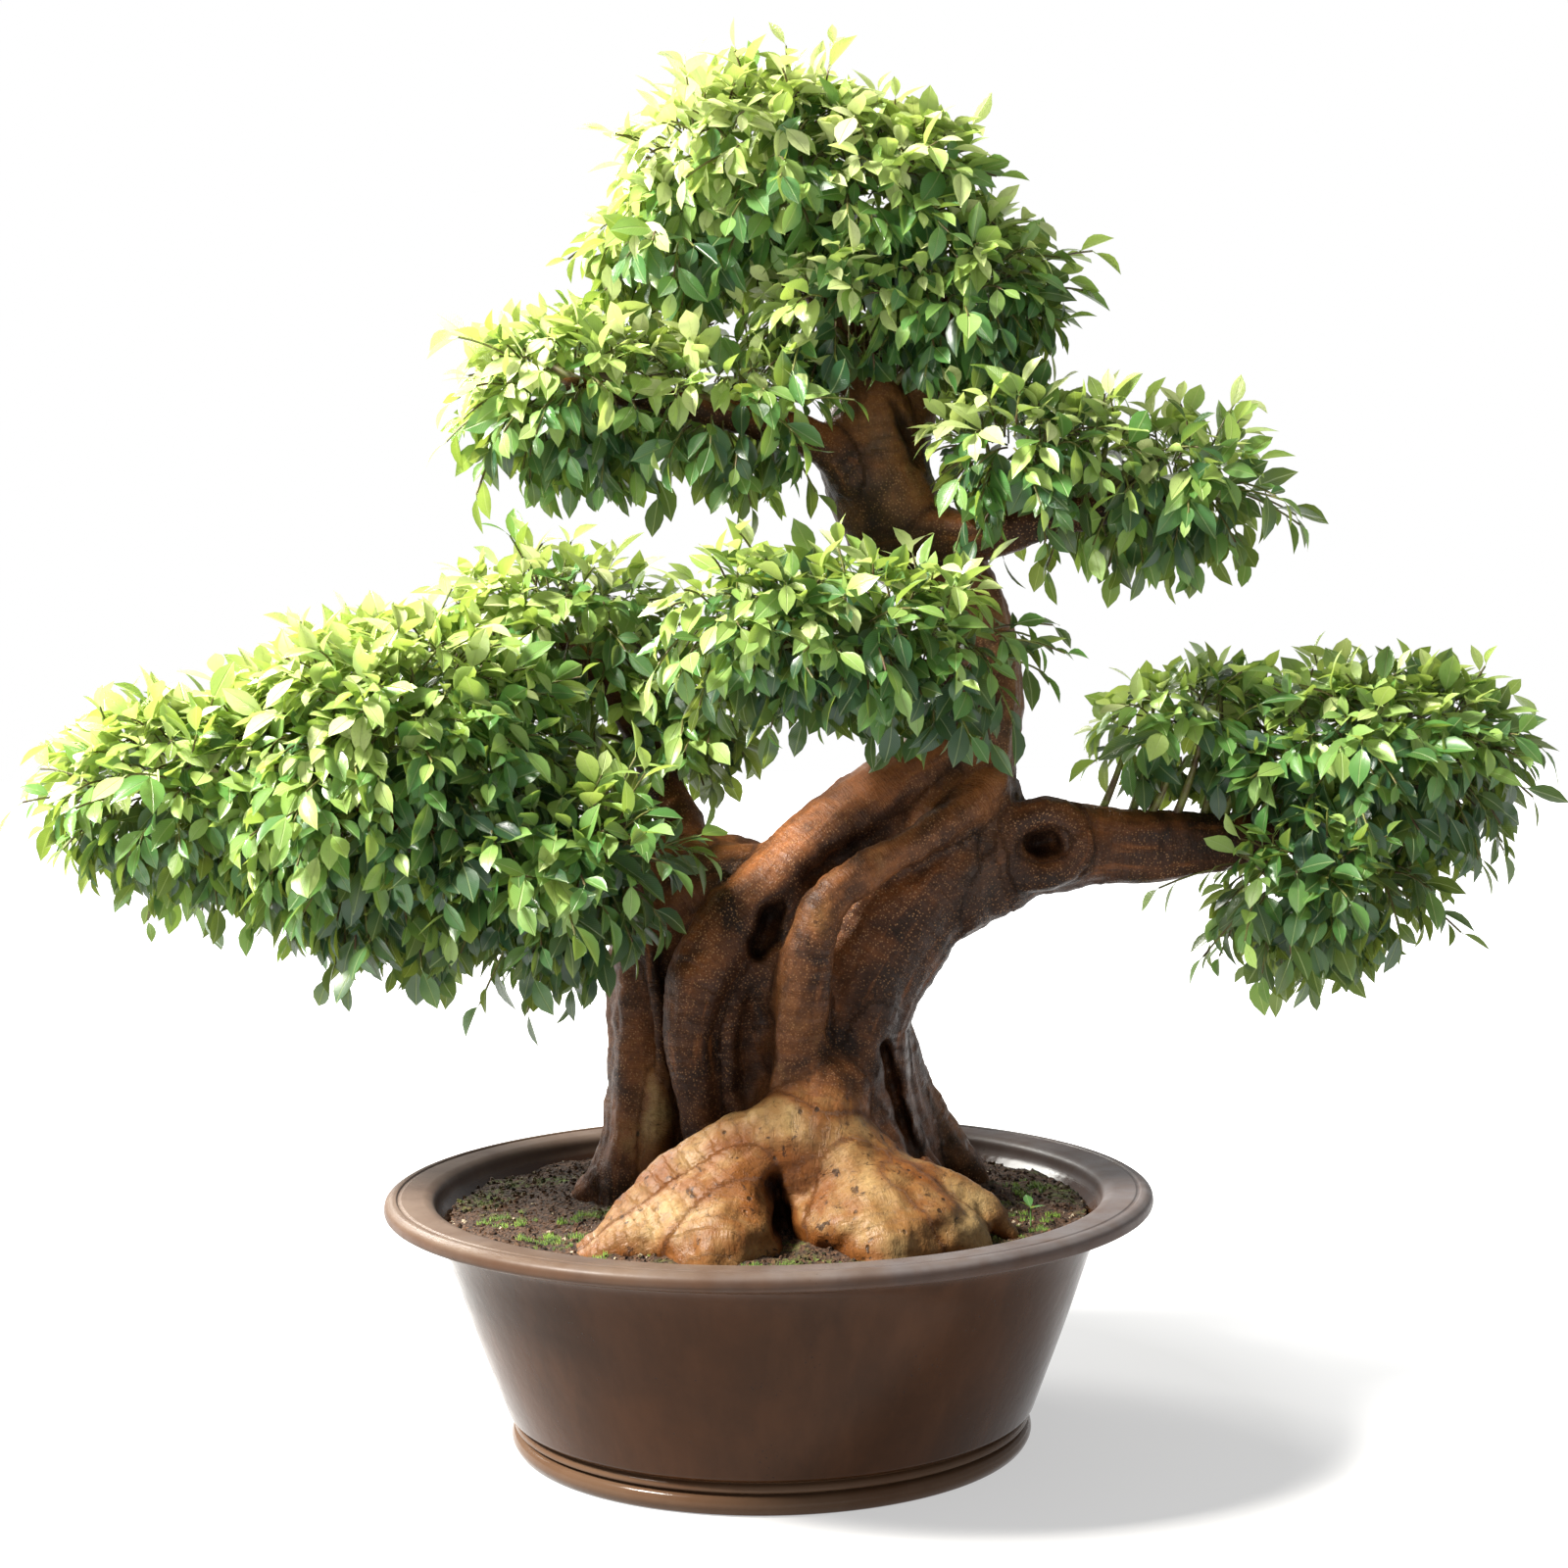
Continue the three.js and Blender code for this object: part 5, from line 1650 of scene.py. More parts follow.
    def _dress(self, tree: GeometryTree, twigs: Any, leaves: Sequence[Thing], inner: bool) -> GeometryTree:
        """Adds the leaves and the twigs' thickness to the tree.

        Args:
            tree: The tree.
            twigs: The twigs' lines.
            leaves: The leaf meshes to choose from.
            inner: Whether this is the shaded layer.

        Returns:
            The same tree, ended.
        """
        number = tree.node("GeometryNodeInputIndex").outputs[0]
        share = tree.node("GeometryNodeSplineParameter").outputs["Factor"]
        tangent = tree.node("GeometryNodeInputTangent").outputs[0]
        away = tree.named("outward", "FLOAT_VECTOR")
        angle = tree.maths("MULTIPLY_ADD", number, 2.4, tree.random(-0.5, 0.5, 3))
        level = tree.vectors("NORMALIZE", tree.vectors("CROSS_PRODUCT", tangent, (0.13, 0.21, 0.97)))
        side = tree.node("ShaderNodeVectorRotate", {"Vector": level, "Axis": tangent, "Angle": angle})
        open_out = tree.span(share, 0.2, 1.0, 0.95, 0.5)
        axis = tree.vectors("ADD", tree.scaled(tangent, 0.75), tree.scaled(side.outputs[0], open_out))
        droop = tree.maths("MULTIPLY_ADD", tree.axes(away)[2], 0.34, tree.random(-0.72, 0.12, 4))
        axis = tree.vectors("ADD", axis, tree.combine(0.0, 0.0, droop))
        face = tree.vectors("ADD", tree.scaled(away, 0.75), (0.0, 0.0, 0.55))
        tilt = tree.random((-0.45, -0.45, -0.3), (0.45, 0.45, 0.3), 5, "FLOAT_VECTOR")
        face = tree.vectors("ADD", face, tilt)
        choice = tree.node("GeometryNodeJoinGeometry")
        for shape in reversed(leaves):
            tree.join(tree.shape(shape), choice.inputs[0])
        length = tree.times(tree.value("Leaf Length"), tree.random(0.56, 1.14, 6))
        length = tree.times(length, tree.span(share, 0.5, 1.0, 1.0, 0.84))
        # On the inner layer young and chance are kept low, which paints those leaves darker as shade.
        young = tree.times(tree.span(share, 0.3, 1.0, 0.0, 0.3 if inner else 1.0), tree.random(0.3, 1.0, 7))
        points = tree.store(twigs, "young", young, "POINT")
        points = tree.store(points, "chance", tree.random(0.0, 0.45 if inner else 1.0, 8), "POINT")
        here = tree.node("GeometryNodeInputPosition").outputs[0]
        tip = tree.vectors("ADD", here, tree.scaled(tree.vectors("NORMALIZE", axis), 0.02))
        clear = tree.maths("GREATER_THAN", tree.gap_to("Wood", tip), self.clearance)
        keeps = tree.times(clear, tree.maths("GREATER_THAN", share, 0.12))
        picked = tree.node("GeometryNodeInstanceOnPoints", {
            "Points": points, "Selection": keeps, "Instance": choice.outputs[0], "Pick Instance": True,
            "Instance Index": tree.random(0, len(leaves) - 1, 9, "INT"),
            "Rotation": tree.aimed(axis, face), "Scale": length})
        inputs = {"Resolution": 3, "Radius": tree.value("Twig Radius")}
        section = tree.node("GeometryNodeCurvePrimitiveCircle", inputs).outputs[0]
        stems = tree.node("GeometryNodeCurveToMesh", {"Curve": twigs, "Profile Curve": section}).outputs[0]
        whole = tree.node("GeometryNodeJoinGeometry")
        tree.join(tree.painted(stems, "Twig"), whole.inputs[0])
        tree.join(tree.planted(picked.outputs[0], "Leaf"), whole.inputs[0])
        tree.output(whole.outputs[0])
        return tree

    def build(self, leaf: Paint, twig: Paint, wood: Thing, leaves: Sequence[Thing]) -> Thing:
        """Grows the pad.

        Args:
            leaf: The leaves' material.
            twig: The twigs' material.
            wood: The trunk.
            leaves: The leaf meshes.

        Returns:
            The finished piece.
        """
        layers = [self._tree(leaf, twig, wood, leaves, inner).apply(
            self.surface(self.core if inner else 1.0), f"{self.name}_leaves")
            for inner in (False, True)]
        pad = merged(layers, f"{self.name}_leaves")
        return settle(pad, "leaf", self.name)

    def anchors(self, count: int) -> np.ndarray:
        """Points spread over the inside of the pad, in metres, for its branchlets to reach.

        Args:
            count: The number in each lobe.

        Returns:
            A row for each point.
        """
        points = []
        for number, lobe in enumerate(self.lobes):
            for step in range(count):
                level = 1 - (2 * step + 1) / count
                flat = math.sqrt(1 - level * level)
                turn = step * GOLDEN_ANGLE + number
                unit = np.array([flat * math.cos(turn), flat * math.sin(turn), level])
                points.append((unit * lobe.within(self.reach) + np.array(lobe.centre)) * MM)
        return np.array(points)


def merged(pieces: Sequence[Thing], name: str) -> Thing:
    """Joins objects into the first one.

    Args:
        pieces: The objects.
        name: The name of the result.

    Returns:
        The first object, with the others in its mesh.
    """
    with bpy.context.temp_override(active_object=pieces[0], selected_editable_objects=list(pieces)):
        bpy.ops.object.join()
    pieces[0].name = name
    return pieces[0]


PADS = (
    LeafyPad("foliage_crown", "upper trunk in an S", (
        Lobe((3, 4, 1043), (142, 126, 102)), Lobe((158, 5, 940), (112, 114, 104)),
        Lobe((-67, -13, 986), (108, 98, 78)), Lobe((92, 0, 1012), (126, 116, 108)),
        Lobe((62, -34, 922), (92, 86, 76))), 11),
    LeafyPad("foliage_upper_left", "branch to the upper left pad", (
        Lobe((-146, -20, 862), (120, 110, 92)), Lobe((-30, -36, 848), (112, 94, 82))), 12),
    LeafyPad("foliage_upper_right", "branch to the upper right pad", (
        Lobe((208, -40, 806), (104, 90, 72)), Lobe((270, -28, 800), (104, 92, 76)),
        Lobe((334, -12, 782), (112, 94, 80))), 13),
    LeafyPad("foliage_centre", "branch to the centre pad", (
        Lobe((8, -114, 672), (120, 84, 86)), Lobe((122, -100, 650), (120, 82, 92)),
        Lobe((66, -116, 664), (104, 84, 86))), 14),
    LeafyPad("foliage_left_front", "left branch", (
        Lobe((-449, -19, 544), (156, 118, 104)), Lobe((-295, -41, 552), (168, 150, 162)),
        Lobe((-163, -93, 480), (124, 90, 104))), 15),
    LeafyPad("foliage_left_back", "branch to the left back pad", (
        Lobe((-180, 112, 680), (138, 88, 88)), Lobe((-92, 118, 592), (124, 80, 100))), 16),
    LeafyPad("foliage_right", "right branch", (
        Lobe((354, 5, 582), (108, 94, 84)), Lobe((498, -5, 558), (150, 118, 104)),
        Lobe((456, -22, 464), (120, 102, 94))), 17),
)


@dataclass
class Branchlets:
    """The forks inside the pads, from each pad's branch to its twigs.

    Attributes:
        per_lobe: How many reach each lobe.
        thick: Their radius at the branch.
        thin: Their radius at the tip.
        steps: The number of points along each.
    """

    per_lobe: int = 9
    thick: float = 0.0046
    thin: float = 0.0013
    steps: int = 7

    def _routes(self, pad: LeafyPad) -> Iterator[np.ndarray]:
        """Curved routes from the branch to the inside of the pad's surface.

        Args:
            pad: The pad.

        Yields:
            Points along each, in metres.
        """
        limb = next(limb for limb in LIMBS if limb.part == pad.branch)
        samples = limb.samples()[:, :3]
        samples = samples[len(samples) // 3:]
        share = np.linspace(0, 1, self.steps)[:, None]
        for end in pad.anchors(self.per_lobe):
            gaps = np.linalg.norm(samples - end, axis=1)
            first = max(0, int(np.argmin(gaps)) - 3)
            start = samples[first]
            lean = (start + end) / 2 + (samples[min(first + 2, len(samples) - 1)] - start) * 0.6
            lean[2] += 0.012
            yield start * (1 - share) ** 2 + 2 * lean * share * (1 - share) + end * share ** 2

    def _tree(self, bark: Paint) -> GeometryTree:
        """The tree that gives the routes their tapering thickness.

        Args:
            bark: Their material.

        Returns:
            The tree.
        """
        tree = GeometryTree("Branchlets", {"Bark": bark})
        lines = tree.node("GeometryNodeMeshToCurve", {"Mesh": tree.given.outputs[0]})
        radius = tree.named("radius")
        lines = tree.node("GeometryNodeSetCurveRadius", {"Curve": lines.outputs[0], "Radius": radius})
        section = tree.node("GeometryNodeCurvePrimitiveCircle", {"Resolution": 6, "Radius": 1.0})
        inputs = {"Curve": lines.outputs[0], "Profile Curve": section.outputs[0], "Fill Caps": True}
        node = tree.node("GeometryNodeCurveToMesh", inputs)
        if "Scale" in node.inputs:
            tree.join(radius, node.inputs["Scale"])
        tree.output(tree.painted(node.outputs[0], "Bark"))
        return tree

    def build(self, bark: Paint) -> Thing:
        """Makes all the branchlets as one piece.

        Args:
            bark: Their material.

        Returns:
            The finished piece.
        """
        routes = [route for pad in PADS for route in self._routes(pad)]
        mesh = bpy.data.meshes.new("branchlet_lines")
        edges = [(self.steps * n + k, self.steps * n + k + 1)
                 for n in range(len(routes)) for k in range(self.steps - 1)]
        mesh.from_pydata([tuple(p) for route in routes for p in route], edges, [])
        base = linked(bpy.data.objects.new("branchlet_lines", mesh))
        taper = np.tile(np.linspace(self.thick, self.thin, self.steps), len(routes))
        keep(base, "radius", taper)
        return settle(self._tree(bark).apply(base, "branchlets"), "bark")


@dataclass
class Pot:
    """The round glazed pot, with a foot of two rounded bands and a broad flat rim.

    Attributes:
        rim_radius: The rim's outer radius.
        rim_width: The width of the flat rim.
        height: The height of the whole.
        foot_radius: The foot's radius.
        wall: The wall's thickness.
        floor: The height of the floor's top.
        drain_circle: How far the drain holes lie from the axis.
        drain_radius: A drain hole's radius.
        notch_angles: Where the notches in the foot ring lie, in degrees.
        notch_middle: How far a notch's middle lies from the axis.
        notch_size: A notch's length, width and twice its height.
        segments: The number of steps round it.
    """

    rim_radius: float = 0.315
    rim_width: float = 0.037
    height: float = 0.208
    foot_radius: float = 0.214
    wall: float = 0.014
    floor: float = 0.022
    drain_circle: float = 0.125
    drain_radius: float = 0.016
    notch_angles: tuple[float, float] = (60.0, 120.0)
    notch_middle: float = 0.1795
    notch_size: Point = (0.089, 0.018, 0.01)
    segments: int = 192
    finish: GlazeFinish = field(default_factory=GlazeFinish)

    def _profile(self) -> list[Point]:
        """The section's corners: radius, height and how far each corner is rounded.

        Returns:
            A row for each corner, in metres.
        """
        foot, rim, top = self.foot_radius, self.rim_radius, self.height
        shoulder = foot + 0.045
        inner = rim - self.rim_width
        return [
            (0.0, 0.0, 0.0), (0.1, 0.0, 0.001), (0.1, 0.006, 0.001), (0.15, 0.006, 0.001),
            (0.15, 0.0, 0.001), (foot - 0.003, 0.0, 0.003), (foot + 0.0015, 0.0075, 0.005),
            (foot - 0.0005, 0.0145, 0.003), (foot - 0.0065, 0.0162, 0.0012), (foot - 0.0005, 0.0186, 0.0025),
            (foot - 0.0015, 0.0228, 0.0025), (foot - 0.005, 0.0248, 0.001), (foot + 0.003, 0.0285, 0.003),
            (foot + 0.0305, 0.1015, 0.05), (shoulder + 0.0085, 0.168, 0.02),
            (shoulder + 0.02, 0.1885, 0.01), (rim - 0.008, 0.1925, 0.004), (rim + 0.0008, 0.1965, 0.004),
            (rim, 0.2045, 0.004), (rim - 0.0055, top, 0.003), (rim - 0.0095, top, 0.0006),
            (rim - 0.0105, top - 0.0014, 0.0005), (rim - 0.0125, top - 0.0012, 0.0006),
            (rim - 0.0135, top - 0.0004, 0.0006), (inner + 0.004, top - 0.0008, 0.003),
            (inner - 0.003, top - 0.004, 0.004), (inner - 0.006, top - 0.014, 0.008),
            (shoulder - self.wall, 0.172, 0.01), (foot - self.wall - 0.004, self.floor, 0.004),
            (0.0, self.floor, 0.0)]

    def _outline(self, steps: int = 4) -> list[tuple[float, float]]:
        """The section with its corners rounded.

        Args:
            steps: The number of steps in a rounded corner.

        Returns:
            Radius and height of each point.
        """
        corners = self._profile()
        outline = [corners[0][:2]]
        for before, here, after in zip(corners, corners[1:], corners[2:]):
            point = Vector(here[:2])
            into, out = Vector(before[:2]) - point, Vector(after[:2]) - point
            cut = min(here[2], 0.45 * into.length, 0.45 * out.length)
            start, end = point + into.normalized() * cut, point + out.normalized() * cut
            for step in range(steps + 1):
                t = step / steps
                bent = start * (1 - t) ** 2 + point * 2 * t * (1 - t) + end * t ** 2
                outline.append((bent.x, bent.y))
        return [*outline, corners[-1][:2]]

    def _turned(self) -> Thing:
        """The outline turned round the pot's axis.

        Returns:
            The pot without its holes.
        """
        outline = self._outline()
        ring = outline[1:-1]
        vertices = [(0.0, 0.0, outline[0][1])]
        for radius, height in ring:
            for step in range(self.segments):
                angle = 2 * math.pi * step / self.segments
                vertices.append((radius * math.cos(angle), radius * math.sin(angle), height))
        vertices.append((0.0, 0.0, outline[-1][1]))
        count = self.segments
        faces: list[tuple[int, ...]] = []
        for step in range(count):
            after = (step + 1) % count
            faces.append((0, 1 + after, 1 + step))
            for row in range(len(ring) - 1):
                a, b = 1 + row * count, 1 + (row + 1) * count
                faces.append((a + step, a + after, b + after, b + step))
            last = 1 + (len(ring) - 1) * count
            faces.append((len(vertices) - 1, last + step, last + after))
        return mesh_object("pot_turned", vertices, faces)

    def _cutters(self) -> Iterator[Thing]:
        """The drain holes and the notches that let the water out at the back.

        Yields:
            Each of them, as an object.
        """
        for hole in range(3):
            angle = (hole / 3 + 0.25) * 2 * math.pi
            place = Vector((self.drain_circle * math.cos(angle), self.drain_circle * math.sin(angle), 0.015))
            drill = bmesh.new()
            bmesh.ops.create_cone(drill, cap_ends=True, segments=40, radius1=self.drain_radius,
                                  radius2=self.drain_radius, depth=0.06, matrix=Matrix.Translation(place))
            yield linked(from_shape("cutter", drill))
        for turn in self.notch_angles:
            block = bmesh.new()
            bmesh.ops.create_cube(block, size=1.0)
            spot = Matrix.Rotation(math.radians(turn), 4, "Z") @ Matrix.Translation((self.notch_middle, 0, 0))
            spot = spot @ Matrix.Diagonal((*self.notch_size, 1.0))
            bmesh.ops.transform(block, matrix=spot, verts=block.verts)
            yield linked(from_shape("cutter", block))

    def build(self) -> Thing:
        """Makes the pot.

        Returns:
            The finished piece.
        """
        turned = self._turned()
        cutters = list(self._cutters())
        for cutter in cutters:
            cut = turned.modifiers.new("cut", "BOOLEAN")
            cut.operation = "DIFFERENCE"
            cut.solver = "EXACT"
            cut.object = cutter
        pot = evaluated(turned, "glazed_pot")
        for spare in (turned, *cutters):
            bpy.data.objects.remove(spare)
        smooth_by_angle(pot, 32.0)
        paint(pot, self.finish.material())
        return settle(pot, "glaze", "pot")


def smooth_by_angle(obj: Thing, degrees: float) -> None:
    """Shades an object smoothly, with sharp edges where it turns by more than an angle."""
    with bpy.context.temp_override(object=obj, active_object=obj, selected_objects=[obj],
                                   selected_editable_objects=[obj]):
        bpy.ops.object.shade_smooth_by_angle(angle=math.radians(degrees))


MOSS_PATCHES = (
    (126.0, -88.0, 26.0, 14.0), (192.0, -122.0, 34.0, 20.0), (214.0, -70.0, 22.0, 26.0),
    (150.0, -150.0, 22.0, 12.0), (-168.0, -128.0, 38.0, 22.0), (-210.0, -60.0, 26.0, 34.0),
    (-150.0, -60.0, 26.0, 20.0), (-120.0, -190.0, 34.0, 12.0), (14.0, -226.0, 46.0, 10.0),
    (70.0, 190.0, 40.0, 20.0), (-90.0, 190.0, 36.0, 22.0), (220.0, 40.0, 18.0, 34.0),
)


@dataclass
class Soil:
    """The potting soil: an uneven surface with loose grains, moss and a seedling.

    Attributes:
        radius: Its radius at the pot's wall.
        level: Its height there.
        mound: How much higher it is in the middle.
        bottom: The height of its underside.
        slope: How much narrower it is there.
        rings: The number of rings in its top.
        spokes: The number of steps round it.
        grains: Loose grains per square metre.
        grain_sizes: The smallest and the largest grain.
        tufts: Tufts per square metre of the densest moss.
        tuft_height: The height of a tuft.
        seed: What the random numbers start from.
        moss: Patches of moss: centre and half sizes in millimetres.
    """

    radius: float = 0.2615
    level: float = 0.19
    mound: float = 0.012
    bottom: float = 0.1725
    slope: float = 0.0165
    rings: int = 88
    spokes: int = 240
    grains: float = 27000.0
    grain_sizes: tuple[float, float] = (0.0014, 0.0062)
    tufts: float = 90000.0
    tuft_height: float = 0.0046
    seed: int = 40
    moss: tuple[tuple[float, ...], ...] = MOSS_PATCHES
    finish: SoilFinish = field(default_factory=SoilFinish)

    def _surface(self) -> Thing:
        """The soil's top and sides as one closed shell.

        Returns:
            The shell, in the scene.
        """
        vertices = [(0.0, 0.0, self.level + self.mound)]
        for ring in range(1, self.rings + 1):
            share = ring / self.rings
            height = self.level + self.mound * (1 + math.cos(math.pi * share)) / 2
            for spoke in range(self.spokes):
                angle = 2 * math.pi * spoke / self.spokes
                vertices.append((self.radius * share * math.cos(angle),
                                 self.radius * share * math.sin(angle), height))
        count = self.spokes
        faces: list[tuple[int, ...]] = [(0, 1 + s, 1 + (s + 1) % count) for s in range(count)]
        for ring in range(self.rings - 1):
            a, b = 1 + ring * count, 1 + (ring + 1) * count
            for s in range(count):
                after = (s + 1) % count
                faces.append((a + s, b + s, b + after, a + after))
        edge = 1 + (self.rings - 1) * count
        start = len(vertices)
        low_radius = self.radius - self.slope
        for spoke in range(count):
            angle = 2 * math.pi * spoke / count
            vertices.append((low_radius * math.cos(angle), low_radius * math.sin(angle), self.bottom))
        vertices.append((0.0, 0.0, self.bottom))
        for s in range(count):
            after = (s + 1) % count
            faces.append((edge + s, start + s, start + after, edge + after))
            faces.append((len(vertices) - 1, start + after, start + s))
        return mesh_object("soil_base", vertices, faces)

    def _relief(self) -> GeometryTree:
        """The tree that roughens the soil's top.

        Returns:
            The tree.
        """
        tree = GeometryTree("Soil relief", {"Clods": 0.005, "Crumbs": 0.0022, "Edge": self.level - 0.003})
        here = tree.node("GeometryNodeInputPosition").outputs[0]
        clods = tree.span(tree.noise(24.0, 2.0, here), 0.2, 0.8, -1.0, 1.0)
        crumbs = tree.span(tree.noise(150.0, 3.0, here), 0.2, 0.8, -1.0, 1.0)
        height = tree.times(clods, tree.value("Clods"))
        height = tree.maths("MULTIPLY_ADD", crumbs, tree.value("Crumbs"), height)
        top = tree.maths("GREATER_THAN", tree.axes(here)[2], tree.value("Edge"))
        tree.output(tree.shifted(tree.given.outputs[0], tree.combine(0.0, 0.0, tree.times(height, top))))
        return tree

    def _scatter(self, material: Paint, wood: Thing) -> GeometryTree:
        """The tree that strews grains over the soil, clear of the roots.

        Args:
            material: The grains' material.
            wood: The roots.

        Returns:
            The tree.
        """
        low, high = self.grain_sizes
        tree = GeometryTree("Loose grains", {
            "Density": self.grains, "Smallest": low, "Largest": high, "Seed": self.seed,
            "Grain": self._grain(), "Wood": wood, "Stuff": material})
        spread = tree.node("GeometryNodeDistributePointsOnFaces", {
            "Mesh": tree.given.outputs[0], "Density": tree.value("Density"), "Seed": tree.value("Seed")})
        level = tree.axes(tree.node("GeometryNodeInputPosition").outputs[0])[2]
        on_top = tree.maths("GREATER_THAN", level, self.level - 0.008)
        keeps = tree.times(on_top, tree.maths("GREATER_THAN", tree.gap_to("Wood"), 0.0012))
        reach = tree.maths("SUBTRACT", tree.value("Largest"), tree.value("Smallest"))
        size = tree.maths("POWER", tree.random(0.0, 1.0, 1), 2.4)
        size = tree.maths("MULTIPLY_ADD", size, reach, tree.value("Smallest"))
        turn = tree.random((0.0, 0.0, 0.0), (6.28, 6.28, 6.28), 2, "FLOAT_VECTOR")
        squash = tree.random((0.7, 0.7, 0.5), (1.4, 1.1, 1.0), 3, "FLOAT_VECTOR")
        points = tree.store(spread.outputs[0], "chance", tree.random(0.0, 1.0, 4), "POINT")
        strewn = tree.node("GeometryNodeInstanceOnPoints", {
            "Points": points, "Selection": keeps, "Instance": tree.shape(tree.value("Grain")),
            "Rotation": turn, "Scale": tree.scaled(squash, size)})
        tree.output(tree.planted(strewn.outputs[0], "Stuff"))
        return tree

    @staticmethod
    def _grain() -> Thing:
        """One rough, angular grain a unit across, out of view.

        Returns:
            The grain.
        """
        shape = bmesh.new()
        bmesh.ops.create_icosphere(shape, subdivisions=1, radius=0.5)
        for number, vertex in enumerate(shape.verts):
            vertex.co *= 0.8 + 0.4 * ((number * 7) % 5) / 4
        return from_shape("grain", shape)

    @staticmethod
    def _tuft() -> Thing:
        """A few moss shoots a unit high, out of view.

        Returns:
            The tuft.
        """
        shoots = 7
        points: list[Point] = []
        faces: list[tuple[int, ...]] = []
        for shoot in range(shoots):
            turn, lean = GOLDEN_ANGLE * shoot, 0.16 * math.sqrt(shoot)
            x, y = lean * math.cos(turn), lean * math.sin(turn)
            start = len(points)
            for side in range(3):
                angle = turn + 2 * math.pi * side / 3
                points.append((x + 0.14 * math.cos(angle), y + 0.14 * math.sin(angle), -0.2))
            points.append((x * 2.4, y * 2.4, 1.0 - 0.5 * lean))
            faces += [(start + n, start + (n + 1) % 3, start + 3) for n in range(3)]
        tuft = mesh_object("moss_tuft", points, faces)
        bpy.context.scene.collection.objects.unlink(tuft)
        return tuft

    def _moss_share(self, points: np.ndarray) -> np.ndarray:
        """How thickly moss grows at points, in metres, from zero to one.

        Args:
            points: A row of x, y and z for each point.

        Returns:
            The shares.
        """
        share = np.zeros(len(points))
        for x, y, across, deep in self.moss:
            out = ((points[:, 0] / MM - x) / across) ** 2 + ((points[:, 1] / MM - y) / deep) ** 2
            share = np.maximum(share, np.clip(1.5 * (1 - out), 0, 1))
        return share

    def _moss_tree(self, wood: Thing) -> GeometryTree:
        """The tree that grows tufts where the soil carries moss.

        Args:
            wood: The roots.

        Returns:
            The tree.
        """
        tree = GeometryTree("Moss", {
            "Density": self.tufts, "Height": self.tuft_height, "Seed": self.seed + 7,
            "Tuft": self._tuft(), "Wood": wood, "Stuff": MossFinish().material()})
        patch = tree.times(tree.named("moss"), tree.span(tree.noise(70.0, 3.0), 0.46, 0.64))
        spread = tree.node("GeometryNodeDistributePointsOnFaces", {
            "Mesh": tree.given.outputs[0], "Seed": tree.value("Seed"),
            "Density": tree.times(patch, tree.value("Density"))})
        points = tree.store(spread.outputs[0], "chance", tree.random(0.0, 1.0, 4), "POINT")
        grown = tree.node("GeometryNodeInstanceOnPoints", {
            "Points": points, "Selection": tree.maths("GREATER_THAN", tree.gap_to("Wood"), 0.0015),
            "Instance": tree.shape(tree.value("Tuft")),
            "Rotation": tree.random((-0.3, -0.3, 0.0), (0.3, 0.3, 6.28), 5, "FLOAT_VECTOR"),
            "Scale": tree.times(tree.value("Height"), tree.random(0.45, 1.2, 6))})
        tree.output(tree.planted(grown.outputs[0], "Stuff"))
        return tree

    def build(self, wood: Thing) -> Thing:
        """Makes the soil, its loose grains and its moss.

        Args:
            wood: The roots that stand in it.

        Returns:
            The soil's surface.
        """
        soil = self._relief().apply(self._surface(), "potting_soil")
        material = self.finish.material()
        paint(soil, material)
        keep(soil, "chance", np.full(len(soil.data.vertices), 0.35))
        places = np.zeros(3 * len(soil.data.vertices), np.float32)
        soil.data.vertices.foreach_get("co", places)
        keep(soil, "moss", self._moss_share(places.reshape(-1, 3)))
        copies = [linked(bpy.data.objects.new("soil_copy", soil.data.copy())) for _ in range(2)]
        settle(self._scatter(material, wood).apply(copies[0], "loose_grains"), "potting_soil")
        settle(self._moss_tree(wood).apply(copies[1], "moss"), "leaf")
        return settle(soil, "potting_soil", "soil")


@dataclass(frozen=True)
class Seedling:
    """A seedling that has come up in the soil: a thin stem with a few small leaves.

    Attributes:
        foot: Where it stands, in metres.
        height: The stem's height.
        radius: The stem's radius.
        leaves: Each leaf's turn round the stem and its rise in degrees, and its length.
    """

    foot: Point = (0.206, -0.104, 0.19)
    height: float = 0.016
    radius: float = 0.0007
    leaves: tuple[Point, ...] = (
        (-160.0, 25.0, 0.015), (10.0, 35.0, 0.017), (-70.0, 12.0, 0.013), (110.0, 40.0, 0.012))

    def build(self, finish: Paint, leaf: Thing) -> Thing:
        """Makes the seedling.

        Args:
            finish: The leaves' material.
            leaf: The leaf to copy.

        Returns:
            The finished piece.
        """
        stem = bmesh.new()
        bmesh.ops.create_cone(stem, cap_ends=True, segments=6, radius1=self.radius, radius2=self.radius,
                              depth=self.height, matrix=Matrix.Translation((0, 0, self.height / 2)))
        parts = [linked(from_shape("seedling", stem))]
        for turn, rise, length in self.leaves:
            blade = linked(bpy.data.objects.new("seedling_leaf", leaf.data.copy()))
            turned = Matrix.Rotation(math.radians(turn), 4, "Z") @ Matrix.Rotation(math.radians(rise), 4, "X")
            blade.data.transform(Matrix.Translation((0, 0, self.height)) @ turned @ Matrix.Scale(length, 4))
            parts.append(blade)
        plant = merged(parts, "seedling")
        plant.data.transform(Matrix.Translation(self.foot))
        paint(plant, finish)
        count = len(plant.data.vertices)
        for name, value in (("young", 0.5), ("chance", 0.5), ("sunny", 0.2)):
            keep(plant, name, np.full(count, value))
        return settle(plant, "leaf")


